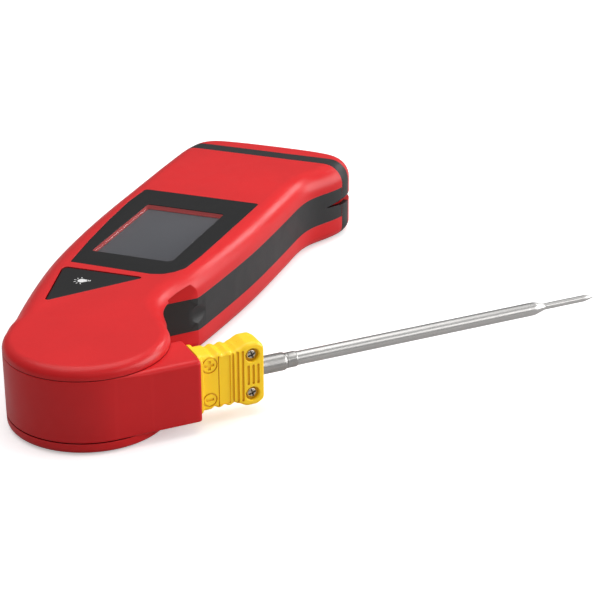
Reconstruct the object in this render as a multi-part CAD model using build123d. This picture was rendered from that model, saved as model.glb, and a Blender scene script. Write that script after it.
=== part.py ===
from build123d import *
import math
import os

# Folding probe thermometer: a flat handle with a display, and an arm that turns about
# a post in the round hub and carries a plug-in thermocouple probe.
# Frame in millimetres: origin on the arm's pivot axis at the underside, +X along the
# handle, +Y to the handle's left, +Z up.  The arm, plug and probe are drawn along +X
# and then turned to their rest direction.  Cutting solids run past the faces they open.

os.makedirs("parts", exist_ok=True)

# ---------------------------------------------------------------- driving dimensions
HEIGHT = 24.2              # overall thickness
Z_MID = 12.0               # parting plane of the shells and axis of the probe
HUB_R = 22.0
SHOULDER_R = 6.0           # rounding of the handle's upper edge
UNDER_R = 2.9              # rounding of the handle's lower edge
HUB_TOP_R = 2.9            # rounding of the hub's upper edge
HUB_BOTTOM_R = 1.4         # rounding of the hub's lower edge
BAY_LO, BAY_HI = 3.0, 21.0      # the arm runs between these two levels
WALL = 2.4                 # shell wall
INLAY = 1.6                # depth of the black inlay
STRIP_LO, STRIP_HI = 7.0, 17.0  # edges of the black side strip
BAND_X0, BAND_X1 = 142.0, 146.9  # black band across the far end
ARM_REST = -44.41          # arm direction at rest, degrees from +X
ARM_FOLDED = -3.0          # arm direction folded against the handle
POST_R, POST_BORE_R = 5.0, 3.4
BUSH_R, BUSH_BORE_R = 8.0, 5.05
SEAL_R, SEAL_BORE_R = 14.9, 13.7
SEAL_GAP = 0.1             # radial play of a seal in its groove
PROBE_Y = -14.65           # probe axis in the arm's own frame
BOSS_END = 23.6            # end face of the arm boss
PLUG_END = 42.7
TIP_END = 148.7            # point of the probe

# Body outline at its widest level, clockwise seen from above
HUB_ANGLES = [-68, -86, -104, -122, -140, -158, -176, 166, 148, 130]  # degrees
HUB_OUTLINE_R = HUB_R - 2.0
# x, y
LEFT_SIDE = [
    (-9.0, 18.6), (-3.0, 22.1), (5.0, 24.7), (21.0, 28.9), (41.0, 32.9),
    (56.0, 34.6), (79.0, 35.9), (107.0, 36.2), (131.0, 36.2), (144.0, 35.7)]
FAR_END = [
    (151.5, 33.7), (155.6, 28.6), (156.8, 21.0), (157.2, 7.0), (156.8, -8.0),
    (155.4, -15.6), (151.4, -20.6)]
RIGHT_SIDE = [
    (144.6, -21.9), (139.6, -20.8), (135.6, -19.1), (131.6, -17.1), (127.6, -15.6),
    (121.5, -14.8), (111.0, -14.9), (94.0, -15.0), (80.0, -14.8), (66.0, -14.0),
    (52.0, -12.9)]
NECK = [
    (46.0, -12.3), (39.5, -10.9), (33.6, -10.3), (28.6, -10.5), (24.4, -11.8),
    (19.6, -14.6)]

# Oblique wall of the pocket that takes the folded plug: x, y of its two ends and foot
POCKET_WALL = [(50.0, -16.3), (37.3, -4.8), (34.0, -4.0)]

# Rectangles are x0, x1, y0, y1
DISPLAY = (51.0, 90.2, -1.8, 23.4)       # opening in the window bezel
LCD = (48.6, 92.6, -4.4, 26.0)           # display panel
BACKLIGHT = (50.0, 91.2, -2.6, 24.2)
DOOR = (90.0, 140.0, -2.6, 23.8)         # battery door
WINDOW_Z = 23.0                          # seat of the bezel and the lens
DOOR_T = 1.5
# Bezel outline: x, y
WINDOW = [
    (41.3, 0.3), (42.4, -3.0), (44.8, -5.5), (48.6, -7.3), (58.0, -7.9), (72.0, -8.2),
    (88.0, -8.4), (101.8, -8.5), (101.6, 29.4), (90.0, 29.9), (74.6, 29.0), (58.0, 27.5),
    (41.6, 25.4)]
KEY = [(14.6, 19.9), (38.2, 26.0), (38.7, 0.6)]  # corners of the key: x, y
KEY_CORNER_R = 1.0

# Screw axes: x, y
CASE_SCREWS = [(28.5, 26.4), (82.0, -9.2), (134.5, 28.6), (134.5, -9.6)]
BOARD_SCREWS = [(42.6, 24.6), (96.8, 26.2), (96.8, -4.8)]
ARM_SCREWS = [(-15.0, 8.0), (-2.0, -17.0), (12.0, 12.0)]  # in the arm's own frame
DOOR_SCREW = (92.3, 10.6)
SWITCH_X, SWITCH_Y = 33.0, 15.5


# ---------------------------------------------------------------- helpers
def extrude_up(face, z0, z1):
    return extrude(Pos(0, 0, z0) * face, amount=z1 - z0, dir=(0, 0, 1))


def polygon(points):
    return make_face(Polyline([(x, y, 0) for x, y in points], close=True))


def prism(points, z0, z1):
    return extrude_up(polygon(points), z0, z1)


def rounded_prism(points, z0, z1, radius):
    solid = prism(points, z0, z1)
    return fillet(solid.edges().filter_by(Axis.Z), radius)


def side_prism(points_xz, y0, y1):
    face = make_face(Polyline([(x, y0, z) for x, z in points_xz], close=True))
    return extrude(face, amount=y1 - y0, dir=(0, 1, 0))


def box(x0, x1, y0, y1, z0, z1):
    return Pos((x0 + x1) / 2, (y0 + y1) / 2, (z0 + z1) / 2) * Box(x1 - x0, y1 - y0, z1 - z0)


def grow(rect, margin):
    x0, x1, y0, y1 = rect
    return x0 - margin, x1 + margin, y0 - margin, y1 + margin


def rounded_rect(rect, z0, z1, radius):
    x0, x1, y0, y1 = rect
    return rounded_prism([(x0, y0), (x1, y0), (x1, y1), (x0, y1)], z0, z1, radius)


def cyl(x, y, z0, z1, radius):
    return Pos(x, y, (z0 + z1) / 2) * Cylinder(radius, z1 - z0)


def ring(z0, z1, radius, bore):
    """Ring on the pivot axis."""
    return cyl(0, 0, z0, z1, radius) - cyl(0, 0, z0 - 1, z1 + 1, bore)


def x_cyl(x0, x1, y, z, radius):
    return Pos((x0 + x1) / 2, y, z) * Rot(0, 90, 0) * Cylinder(radius, x1 - x0)


def y_cyl(x, y0, y1, z, radius):
    return Pos(x, (y0 + y1) / 2, z) * Rot(90, 0, 0) * Cylinder(radius, y1 - y0)


def probe_cyl(x0, x1, radius):
    return x_cyl(x0, x1, PROBE_Y, Z_MID, radius)


def probe_cone(x0, x1, radius0, radius1):
    place = Pos((x0 + x1) / 2, PROBE_Y, Z_MID) * Rot(0, 90, 0)
    return place * Cone(radius0, radius1, x1 - x0)


def wire(points, radius):
    start = Vector(*points[0])
    profile = Plane(origin=start, z_dir=Vector(*points[1]) - start) * Circle(radius)
    return sweep(profile, path=Polyline(points), transition=Transition.ROUND)


def screw(x, y, head, shank):
    """Upright screw; head and shank are each (z0, z1, radius)."""
    return cyl(x, y, *head) + cyl(x, y, *shank)


def cross_slot(x, y, long, short, z0, z1):
    """Cross for a screw head, given by the half length and half width of its arms."""
    return (box(x - long, x + long, y - short, y + short, z0, z1)
            + box(x - short, x + short, y - long, y + long, z0, z1))


def round_rims(solid, top_radius, bottom_radius):
    solid = fillet(solid.edges().group_by(Axis.Z)[-1], top_radius)
    if bottom_radius > 0:
        solid = fillet(solid.edges().group_by(Axis.Z)[0], bottom_radius)
    return solid


def largest(shape):
    return max(shape.solids(), key=lambda solid: solid.volume)


def at_rest(shape):
    return Rot(0, 0, ARM_REST) * shape


def save(name, shape):
    if isinstance(shape, list):
        shape = Compound(children=list(shape))
    export_step(shape, "parts/" + name + ".step")


# ---------------------------------------------------------------- body masters
hub_points = [(HUB_OUTLINE_R * math.cos(math.radians(a)), HUB_OUTLINE_R * math.sin(math.radians(a)))
              for a in HUB_ANGLES]
outline = Spline([(x, y, 0) for x, y in hub_points + LEFT_SIDE + FAR_END + RIGHT_SIDE + NECK],
                 periodic=True)


def inset_outline(depth, count=110):
    if depth == 0:
        return outline
    points = []
    for i in range(count):
        point = outline.position_at(i / count)
        tangent = outline.tangent_at(i / count)
        # the curve runs clockwise round the body, so inward is to its right
        points.append((point.X + tangent.Y * depth, point.Y - tangent.X * depth, 0))
    return Spline(points, periodic=True)


def handle_solid(inset, z0, z1, top_radius, bottom_radius):
    solid = extrude_up(make_face(inset_outline(inset)), z0, z1)
    return round_rims(solid, top_radius, bottom_radius)


def make_scoop():
    """Conical scoop in the pocket's corner that takes the ferrule."""
    length = 16
    fold = math.radians(ARM_FOLDED)
    plane = Plane(origin=(38.0, -15.2, Z_MID), z_dir=Vector(math.cos(fold), math.sin(fold), 0))
    return plane * (Pos(0, 0, length / 2) * Cone(5.6, 2.4, length))


def make_bay():
    """Room for the arm in the hub, and for the boss and plug when the arm is folded."""
    points = POCKET_WALL + [(14.0, -4.0), (10.0, -24.0), (30.0, -30.0)]
    pocket = prism(points, 2.5, 21.55) & box(31.5, 60, -40, 10, 0, 30)
    hub_bay = cyl(0, 0, BAY_LO, BAY_HI, HUB_R + 0.5)
    pocket_low = prism(points, BAY_LO, BAY_HI)
    # the left side stays open up to the arm's straight position
    left_relief = prism([(-30, 18), (1.0, 18), (1.0, 30), (-30, 30)], BAY_LO, BAY_HI)
    return hub_bay + pocket + pocket_low + left_relief + scoop


def make_cavity():
    keep_wall = cyl(0, 0, 0, 30, HUB_R + 2.6) + prism(
        [(52.0, -15.4), (38.9, -2.5), (35.0, -1.9), (14.0, -1.9), (8.0, -24.0), (30.0, -32.0)],
        0, 30)
    return core - keep_wall


hub = round_rims(cyl(0, 0, 0, HEIGHT, HUB_R), HUB_TOP_R, HUB_BOTTOM_R)
outer = handle_solid(0, 0, HEIGHT, SHOULDER_R, UNDER_R) + hub
core = handle_solid(WALL, WALL - 0.2, HEIGHT - WALL, SHOULDER_R - WALL, 0.8)
scoop = make_scoop()
bay = make_bay()
# slit that takes the probe's point
slit = side_prism(
    [(134.0, 12.0), (142.0, 13.0), (160.0, 13.6), (160.0, 10.4), (142.0, 11.0)], -26.0, -17.6)


# ---------------------------------------------------------------- grip frame and shells
def make_grip_frame():
    """Black inlay: side strips, band round the far end and lining of the pocket wall."""
    skin = outer - handle_solid(INLAY, INLAY, HEIGHT - INLAY, SHOULDER_R - INLAY, UNDER_R - INLAY)
    strips = (box(30.0, BAND_X0 + 1, -40, -4.0, STRIP_LO, STRIP_HI)
              + box(24.0, BAND_X0 + 1, 20, 50, STRIP_LO, STRIP_HI))
    band = box(BAND_X0, BAND_X1, -40, 60, -5, HEIGHT + 5)
    lining = prism(POCKET_WALL + [(34.0, -2.9), (38.0, -3.7), (51.5, -15.8)], STRIP_LO, STRIP_HI)
    grip = skin & (strips + band)
    grip = grip + ((lining & outer) - scoop)
    return largest(grip - bay - slit)


def make_end_cap():
    """Shell beyond the band, with a lip that reaches in under the band."""
    lip = (handle_solid(WALL + 0.1, WALL, HEIGHT - WALL - 0.1, SHOULDER_R - WALL, 0.8)
           - handle_solid(WALL + 1.5, WALL + 1.3, HEIGHT - WALL - 1.5,
                          SHOULDER_R - WALL - 1.4, 0))
    lip = lip & box(143.6, BAND_X1 + 1.6, -50, 60, -5, 30)
    lip = lip - slit - box(143, 150, -30, -14.0, 9, 15)
    return largest((shell & end_zone) + lip)


def make_case():
    """Both shells in one, with bosses for the case screws."""
    boss_r = 3.1
    case = shell - end_zone
    for x, y in CASE_SCREWS:
        case = (case + (cyl(x, y, 1.0, Z_MID, boss_r) & core)
                + (cyl(x, y, Z_MID, HEIGHT - 1.0, boss_r) & core))
    return case


def make_window_body():
    body = prism(WINDOW, WINDOW_Z, HEIGHT)
    return fillet(body.edges().filter_by(Axis.Z).sort_by(Axis.X)[-2:], 1.0)


def make_top_shell():
    top = case & box(-60, 200, -60, 80, Z_MID, 60)
    top = top - window_body
    top = top - box(*grow(DISPLAY, -0.8), 18, 26)
    top = top - rounded_prism(KEY, 21.0, 26.0, KEY_CORNER_R)
    # seat under the key keeps it from falling in
    ledge = rounded_prism(KEY, 20.6, 21.3, KEY_CORNER_R) - cyl(SWITCH_X, SWITCH_Y, 20, 22, 2.2)
    top = top + (ledge - cyl(0, 0, 0, 30, HUB_R + 1.0))
    for x, y in CASE_SCREWS:
        top = top - cyl(x, y, Z_MID - 1, 20.0, 1.22)
    # socket for the post, seal groove, and sleeve for the pivot screw
    top = top - ring(BAY_HI - 0.5, BAY_HI + 0.8, POST_R + 0.02, POST_BORE_R - 0.02)
    top = top - ring(BAY_HI - 0.1, BAY_HI + 0.6, SEAL_R + SEAL_GAP, SEAL_BORE_R - SEAL_GAP)
    screw_bore = 1.27
    top = top + ring(14.0, BAY_HI + 0.5, 2.3, screw_bore) - cyl(0, 0, 13.0, 20.5, screw_bore)
    return largest(largest(top) - slit)


def make_bottom_shell():
    bottom = case & box(-60, 200, -60, 80, -20, Z_MID)
    for x, y in CASE_SCREWS:
        bottom = bottom - cyl(x, y, -1, Z_MID + 1, 1.3) - cyl(x, y, -1, 3.4, 2.7)
    # socket for the post and seal groove
    bottom = bottom - ring(1.6, BAY_LO + 0.5, POST_R + 0.02, 2.6)
    bottom = bottom - ring(BAY_LO - 0.6, BAY_LO + 0.1, SEAL_R + SEAL_GAP, SEAL_BORE_R - SEAL_GAP)
    # pivot screw hole and counterbore
    bottom = bottom - cyl(0, 0, -1, 4, 1.35) - cyl(0, 0, -1, 1.5, 2.7)
    # washer seat
    bottom = bottom - ring(2.45, 3.5, 8.6, 4.0)
    # lead channel
    bottom = bottom - box(1.3, 31.0, 0.3, 2.6, 1.2, 3.2) - box(1.3, 26.5, 0.3, 2.6, 1.2, 4.0)
    # door recess and battery opening
    bottom = bottom - rounded_rect(grow(DOOR, 0.1), -1.0, DOOR_T + 0.05, 3.1)
    bottom = bottom - rounded_rect(grow(DOOR, -1.6), -1.0, 3.0, 2.0)
    # block between the batteries that takes the door's screw
    bottom = bottom + box(89.0, 93.7, 8.95, 12.25, 1.6, 5.6)
    return largest(bottom) - cyl(*DOOR_SCREW, -1, 5.2, 1.05)


def make_battery_door():
    """Door in the underside, with a rib inside along each long edge."""
    x0, x1, y0, y1 = DOOR
    door = rounded_rect(DOOR, 0.0, DOOR_T, 3.0)
    door = (door + box(x0 + 5.0, x1 - 5.0, y0 + 2.0, y0 + 3.2, 1.4, 2.7)
            + box(x0 + 5.0, x1 - 5.0, y1 - 3.2, y1 - 2.0, 1.4, 2.7))
    return door - cyl(*DOOR_SCREW, -1, 2, 1.15) - cyl(*DOOR_SCREW, -1, 0.9, 2.05)


grip_frame = make_grip_frame()
shell = outer - make_cavity() - bay - grip_frame - slit
end_zone = box(BAND_X1 + 0.1, 170, -50, 60, -5, 30)
case = make_case()
window_body = make_window_body()

save("top_shell", make_top_shell())
save("bottom_shell", make_bottom_shell())
save("grip_frame", grip_frame)
save("end_cap", make_end_cap())
save("battery_door", make_battery_door())
save("door_screw", screw(*DOOR_SCREW, head=(0.1, 0.85, 1.9), shank=(0.5, 4.8, 1.0))
     - cross_slot(*DOOR_SCREW, 1.2, 0.25, -1, 0.5))


# ---------------------------------------------------------------- display, board and key
BOARD_LO, BOARD_HI = 14.0, 15.6
# board outline: x, y
BOARD = [(30.0, 10.5), (30.0, 21.0), (40.0, 27.8), (99.0, 28.4), (99.0, -7.0), (50.0, -6.4),
         (43.0, 2.0)]
# chips under the board: x0, x1, y0, y1, z0
CHIPS = [(58, 68, 6, 16, 12.5), (74, 80, 8, 13, 12.9), (74, 78, 0, 4, 12.9)]


def make_lens():
    lens = box(*grow(DISPLAY, -0.05), WINDOW_Z, 24.05)
    return fillet(lens.edges().group_by(Axis.Z)[-1], 0.15)


def make_lcd_panel():
    panel = box(*LCD, 17.9, 19.9) + box(*BACKLIGHT, 19.8, 20.5)
    # front glass stands up into the opening, close behind the lens
    return panel + box(*grow(DISPLAY, -1.0), 20.4, 22.8)


def make_lcd_holder():
    frame = box(46.8, 94.4, -6.0, 27.6, 15.7, 21.2) - box(*grow(LCD, 0.1), 14, 22)
    return frame - box(46, 60, 24.9, 29, 19.5, 22)


def make_board():
    board = prism(BOARD, BOARD_LO, BOARD_HI)
    for x, y in CASE_SCREWS:
        board = board - cyl(x, y, 13, 17, 3.5)
    for x, y in BOARD_SCREWS:
        board = board - cyl(x, y, 13, 17, 1.15)
    return board


def make_key_switch():
    half = 2.6
    body = box(SWITCH_X - half, SWITCH_X + half, SWITCH_Y - half, SWITCH_Y + half,
               BOARD_HI + 0.02, 16.4)
    return body + cyl(SWITCH_X, SWITCH_Y, 16.3, 16.65, 1.6)


def make_key():
    """Key with a stem down to the switch."""
    face = offset(polygon(KEY), amount=-0.12, kind=Kind.INTERSECTION)
    key = extrude_up(face, 22.0, HEIGHT + 0.1)
    key = fillet(key.edges().filter_by(Axis.Z), KEY_CORNER_R - 0.1)
    key = fillet(key.edges().group_by(Axis.Z)[-1], 0.35)
    return key + cyl(SWITCH_X, SWITCH_Y, 17.35, 22.1, 1.7)


save("window_bezel", window_body - box(*DISPLAY, 20, 26))
save("display_lens", make_lens())
save("lcd_panel", make_lcd_panel())
save("lcd_holder", make_lcd_holder())
save("contact_strips", [box(52.0, 89.2, y0, y0 + 1.1, 15.65, 17.85) for y0 in (-4.3, 24.8)])
save("backlight_panel", box(*BACKLIGHT, 15.75, 17.75))
save("main_board", make_board())
save("meter_chips", [box(*chip, BOARD_LO - 0.05) for chip in CHIPS])
save("key_switch", make_key_switch())
save("backlight_key", make_key())
save("board_screws", [screw(x, y, head=(12.2, 13.9, 2.0), shank=(13.5, 19.0, 1.0))
                      for x, y in BOARD_SCREWS])

# ---------------------------------------------------------------- power and case screws
BATTERY_Y = (5.1, 16.1)
BATTERY_Z = 8.2
BATTERY_R = 5.2


def make_battery(y):
    cell = x_cyl(94.0, 136.8, y, BATTERY_Z, BATTERY_R)
    cell = fillet(cell.edges(), 0.5)
    return cell + x_cyl(136.6, 137.8, y, BATTERY_Z, 1.9)


def make_spring(y):
    helix = Helix(pitch=1.3, height=3.9, radius=2.6)
    profile = Plane(origin=helix @ 0, z_dir=helix % 0) * Circle(0.32)
    coil = sweep(profile, path=helix, is_frenet=True)
    return Pos(89.55, y, BATTERY_Z) * Rot(0, 90, 0) * coil


def make_case_screw(x, y):
    return (screw(x, y, head=(1.9, 3.4, 2.5), shank=(3.0, 18.5, 1.2))
            - cross_slot(x, y, 1.4, 0.3, 1, 2.7))


save("batteries", [make_battery(y) for y in BATTERY_Y])
save("contact_springs", [make_spring(y) for y in BATTERY_Y])
save("contact_bridge", box(88.3, 88.8, 1.2, 20.0, 4.2, 12.0) - box(88, 89, 8.5, 12.7, 4.0, 6.2))
save("contact_plates", [box(138.0, 138.5, y - 3.8, y + 3.8, 4.4, 12.2) for y in BATTERY_Y])
save("case_screws", [make_case_screw(x, y) for x, y in CASE_SCREWS])

# ---------------------------------------------------------------- pivot
# hollow post with a window and a notch at its foot for the leads
save("pivot_post", ring(1.65, 21.75, POST_R, POST_BORE_R)
     - box(2.0, 7.0, -1.6, 1.6, 9.0, 15.0) - box(2.0, 7.0, 0.3, 2.6, 1.0, 3.2))
save("pivot_screw", screw(0, 0, head=(0.4, 1.5, 2.5), shank=(1.0, 19.5, 1.24))
     - cross_slot(0, 0, 1.4, 0.3, -1, 1.1))
save("friction_washer", ring(2.5, 3.1, 8.4, 5.2))
save("lower_bush", at_rest(ring(3.3, 6.8, BUSH_R, BUSH_BORE_R)))
save("upper_bush", at_rest(ring(17.2, 20.7, BUSH_R, BUSH_BORE_R)))
save("upper_seal", ring(BAY_HI - 0.08, BAY_HI + 0.55, SEAL_R, SEAL_BORE_R))
save("lower_seal", ring(BAY_LO - 0.55, BAY_LO + 0.08, SEAL_R, SEAL_BORE_R))

# ---------------------------------------------------------------- arm, drawn along +X
ARM_LO, ARM_HI = BAY_LO + 0.15, BAY_HI - 0.15
COVER_HI = 4.85                       # upper face of the arm cover
COVER_SEAT_R, COVER_SEAT_BORE = 20.6, 9.4
MAGNET_X, MAGNET_Y, MAGNET_R = 16.0, 8.4, 2.0
# plug blades: name, z of the centre, width
BLADES = [("wide", Z_MID - 3.95, 3.2), ("narrow", Z_MID + 3.95, 2.4)]


def blade_box(x0, x1, half_thickness, z, width, margin=0.0):
    """Box round a blade, wider than it by the margin above and below."""
    half = width / 2 + margin
    return box(x0, x1, PROBE_Y - half_thickness, PROBE_Y + half_thickness, z - half, z + half)


def make_arm_housing():
    """Disc with a square boss at its -Y side, hollowed from below."""
    boss = box(0, BOSS_END, -HUB_R, -8.0, ARM_LO, ARM_HI)
    boss = fillet(boss.edges().filter_by(Axis.X).sort_by(Axis.Y)[:2].sort_by(Axis.Z)[-1:], 1.4)
    arm = cyl(0, 0, ARM_LO, ARM_HI, HUB_R) + boss
    arm = arm - cyl(0, 0, 0, 30, BUSH_R)
    arm = arm - ring(0, 19.0, 20.0, 10.0) - box(6.0, 30.0, -19.7, -9.6, 4.85, 19.15)
    arm = arm - ring(0, COVER_HI + 0.05, COVER_SEAT_R, COVER_SEAT_BORE)
    # passage for the leads
    arm = arm - box(5.0, 13.0, -6.0, 2.4, 8.0, 16.0)
    for x, y in ARM_SCREWS:
        arm = arm + cyl(x, y, 4.9, 19.5, 2.4) - cyl(x, y, 4.0, 12.0, 0.85)
    magnet_boss = cyl(MAGNET_X, MAGNET_Y, 12.0, 19.5, 2.8) & cyl(0, 0, 0, 30, 20.5)
    arm = arm + magnet_boss - cyl(MAGNET_X, MAGNET_Y, 11.0, 15.2, MAGNET_R + 0.05)
    return arm - cyl(0, 0, 0, 30, BUSH_R)


def make_arm_cover():
    cover = ring(ARM_LO, COVER_HI, COVER_SEAT_R - 0.05, COVER_SEAT_BORE + 0.05)
    for x, y in ARM_SCREWS:
        cover = cover - cyl(x, y, 0, 6, 1.0) - cyl(x, y, 0, 4.1, 1.75)
    return cover


def make_socket_block():
    block = box(13.5, BOSS_END - 0.1, -19.6, -9.7, 4.95, 19.05)
    for _, z, width in BLADES:
        block = block - blade_box(12.0, 22.4, 1.5, z, width, 0.5)
        block = block - blade_box(20.0, 26.0, 0.6, z, width, 0.2)
    return block


def make_arm_lead(blade_z, loop_z):
    """Lead from a socket clip to the slack loop round the post."""
    lead_r, loop_r = 0.45, 6.6
    lead = wire([(12.5, PROBE_Y, blade_z), (9.0, PROBE_Y, blade_z), (9.0, -3.2, loop_z),
                 (8.6, -0.2, loop_z), (6.7, -0.2, loop_z)], lead_r)
    return lead + Pos(0, 0, loop_z) * Torus(loop_r, lead_r)


save("arm_housing", at_rest(make_arm_housing()))
save("arm_cover", at_rest(make_arm_cover()))
save("arm_screws", [at_rest(screw(x, y, head=(3.3, 4.05, 1.6), shank=(3.9, 9.5, 0.8)))
                    for x, y in ARM_SCREWS])
save("arm_magnet", at_rest(cyl(MAGNET_X, MAGNET_Y, 12.1, 15.1, MAGNET_R)))
# the reed switch lies in the handle
save("reed_switch", Pos(27.6, 12.4, 11.8) * Rot(0, 0, 110) * Rot(0, 90, 0) * Cylinder(1.1, 9.0))
save("socket_block", at_rest(make_socket_block()))
for name, z, width in BLADES:
    clip = blade_box(12.6, 22.3, 1.4, z, width, 0.4) - blade_box(14.0, 23.0, 0.45, z, width, 0.05)
    save("socket_clip_" + name, at_rest(clip))
save("arm_leads", [at_rest(make_arm_lead(blade[1], loop_z))
                   for blade, loop_z in zip(BLADES, (10.6, 13.4))])
# leads down the post and along the channel to the board
save("board_leads", [
    wire([(1.95, y, 13.0), (1.95, y, 1.95), (28.4, y, 1.95), (29.4, y, 3.4),
          (33.0, y + 4.0, 7.0), (35.0, y + 9.5, 13.7)], 0.38) for y in (0.9, 1.9)])

# ---------------------------------------------------------------- plug, drawn along +X
PLUG_X0 = BOSS_END + 0.1
PLUG_Y0, PLUG_Y1 = -18.65, -10.75     # outer and inner face
PLUG_SCREW_X = 39.3
PLUG_SCREW_Z = (Z_MID - 5.6, Z_MID + 5.6)
FERRULE_R = 2.5
# side view of the hump at the plug's end: x, z
HUMP = [(34.5, 4.0), (34.5, 20.0), (36.0, 20.7), (38.0, 21.2), (39.8, 21.2), (41.4, 20.7),
        (42.7, 19.6), (42.7, 4.4), (41.4, 3.3), (39.8, 2.8), (38.0, 2.8), (36.0, 3.3)]


def make_plug():
    flange = box(PLUG_X0, PLUG_X0 + 1.1, -20.0, -9.35, 3.35, 20.65)
    flange = fillet(flange.edges().filter_by(Axis.X), 2.4)
    body = box(PLUG_X0 + 1.0, PLUG_END, PLUG_Y0, PLUG_Y1, 4.0, 20.0)
    body = fillet(body.edges().filter_by(Axis.X), 1.0)
    plug = flange + body + side_prism(HUMP, PLUG_Y0 + 0.3, PLUG_Y1 - 0.3)
    # shallow recess and grooves in the outer face
    plug = plug - box(29.3, 33.0, PLUG_Y0 - 1, PLUG_Y0 + 0.35, 5.2, 18.8)
    for x in (33.4, 34.8, 36.2):
        plug = plug - box(x, x + 0.7, PLUG_Y0 - 1, PLUG_Y0 + 0.4, 4.6, 19.4)
    for z in PLUG_SCREW_Z:
        plug = (plug - y_cyl(PLUG_SCREW_X, PLUG_Y0 - 1, PLUG_Y0 + 1.5, z, 2.0)
                - y_cyl(PLUG_SCREW_X, PLUG_Y0, PLUG_Y1 - 1.2, z, 0.98))
    for x in (37.6, 39.1, 40.6):
        plug = plug - box(x, x + 0.7, PLUG_Y0 - 1, PLUG_Y0 + 0.4, 9.4, 14.6)
    # scallops along the lower and upper edge
    for z in (Z_MID - 9.25, Z_MID + 9.25):
        for x in (27.6, 30.4, 33.2):
            plug = plug - y_cyl(x, PROBE_Y - 6, PROBE_Y + 6, z, 1.6)
    # chamber, blade slots and ferrule bore
    plug = plug - box(27.0, 36.6, PROBE_Y - 2.2, PROBE_Y + 2.2, 5.6, 18.4)
    for _, z, width in BLADES:
        plug = plug - blade_box(PLUG_X0 - 1, 28, 0.42, z, width, 0.02)
    return plug - probe_cyl(36.0, 45.0, FERRULE_R + 0.02)


def make_plug_screw(z):
    x = PLUG_SCREW_X
    body = (y_cyl(x, PLUG_Y0 + 0.5, PLUG_Y0 + 1.5, z, 1.45)
            + y_cyl(x, PLUG_Y0 + 1.0, PLUG_Y1 - 1.6, z, 0.95))
    slot_y = (PLUG_Y0, PLUG_Y0 + 1.05)
    return body - (box(x - 0.95, x + 0.95, *slot_y, z - 0.2, z + 0.2)
                   + box(x - 0.2, x + 0.2, *slot_y, z - 0.95, z + 0.95))


def make_pin(z, width):
    pin = blade_box(15.2, 33.5, 0.4, z, width)
    pin = fillet(pin.edges().filter_by(Axis.Y).sort_by(Axis.X)[:2], 0.6)
    return pin - y_cyl(31.5, PROBE_Y - 2, PROBE_Y + 2, z, 0.7)


plug = make_plug()
save("plug_front_half", at_rest(largest(plug & box(20, 60, -40, PROBE_Y, 0, 30))))
save("plug_back_half", at_rest(largest(plug & box(20, 60, PROBE_Y, 0, 0, 30))))
save("plug_screws", [at_rest(make_plug_screw(z)) for z in PLUG_SCREW_Z])
for name, z, width in BLADES:
    save("pin_" + name, at_rest(make_pin(z, width)))

# ---------------------------------------------------------------- probe, drawn along +X
SHAFT_R = 1.9
CRIMPED_R = 1.72                      # tube squeezed under the crimp
TIP_R = 0.95
FERRULE_X1, COLLAR_X1 = 50.4, 53.6
TAPER_X0, TAPER_X1 = 128.0, 131.3     # end of the tube
POINT_X0 = TIP_END - 3.8              # start of the tip's cone


def make_tube():
    tube = (probe_cyl(38.4, COLLAR_X1 + 1.0, CRIMPED_R)
            + probe_cyl(COLLAR_X1, TAPER_X0, SHAFT_R))
    tube = tube + probe_cone(TAPER_X0, TAPER_X1, SHAFT_R, 1.1)
    return (tube - probe_cyl(30, TAPER_X0 - 0.5, 1.4)
            - probe_cyl(TAPER_X0 - 3.0, TAPER_X1 + 1, TIP_R))


def make_tip():
    tip = (probe_cyl(TAPER_X0 - 2.0, POINT_X0, TIP_R)
           + probe_cone(POINT_X0, TIP_END, TIP_R, 0.12))
    return tip - probe_cyl(TAPER_X0 - 4, POINT_X0 - 1.0, 0.65)


def make_thermocouple_wire(side):
    """Wire on the lower (-1) or upper (1) side of the probe axis."""
    pin_z = Z_MID + side * 3.95 * 0.9
    tube_z = Z_MID + side * 0.36
    return wire([(34.2, PROBE_Y, pin_z), (35.4, PROBE_Y, pin_z), (37.0, PROBE_Y, tube_z),
                 (POINT_X0 - 1.4, PROBE_Y, tube_z)], 0.2)


bore = probe_cyl(30, 60, CRIMPED_R)
save("crimp_ferrule", at_rest(probe_cyl(37.2, FERRULE_X1, FERRULE_R) - bore))
save("crimp_collar", at_rest(probe_cyl(FERRULE_X1, COLLAR_X1, 2.1) - bore))
save("probe_tube", at_rest(make_tube()))
save("probe_tip", at_rest(make_tip()))
save("thermocouple_wires", [at_rest(make_thermocouple_wire(side)) for side in (-1, 1)])
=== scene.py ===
"""Handheld meter with a probe on a folding arm.

Shapes are drawn in millimetres and scaled to metres when finished. The underside lies at z = 0,
the hub's axis stands on the origin and the handle runs along +x to about x = 157. The arm and its
probe are drawn along +x, on the -y side of the hub, then turned about z to their rest direction.
"""
import bpy
import bmesh
import math
import numpy as np
from mathutils import Vector, Matrix


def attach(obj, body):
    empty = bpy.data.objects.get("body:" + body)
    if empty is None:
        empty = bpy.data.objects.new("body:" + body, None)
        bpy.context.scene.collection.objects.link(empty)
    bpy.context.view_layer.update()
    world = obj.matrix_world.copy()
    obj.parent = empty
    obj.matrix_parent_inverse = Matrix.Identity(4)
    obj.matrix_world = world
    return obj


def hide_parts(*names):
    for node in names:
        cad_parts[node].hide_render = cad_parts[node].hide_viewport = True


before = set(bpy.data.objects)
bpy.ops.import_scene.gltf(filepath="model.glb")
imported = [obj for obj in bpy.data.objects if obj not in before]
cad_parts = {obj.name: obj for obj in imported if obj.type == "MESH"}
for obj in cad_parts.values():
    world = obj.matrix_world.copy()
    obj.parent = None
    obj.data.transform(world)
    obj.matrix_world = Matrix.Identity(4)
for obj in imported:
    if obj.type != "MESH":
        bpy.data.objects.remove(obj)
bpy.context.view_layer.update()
MM = 0.001

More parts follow.
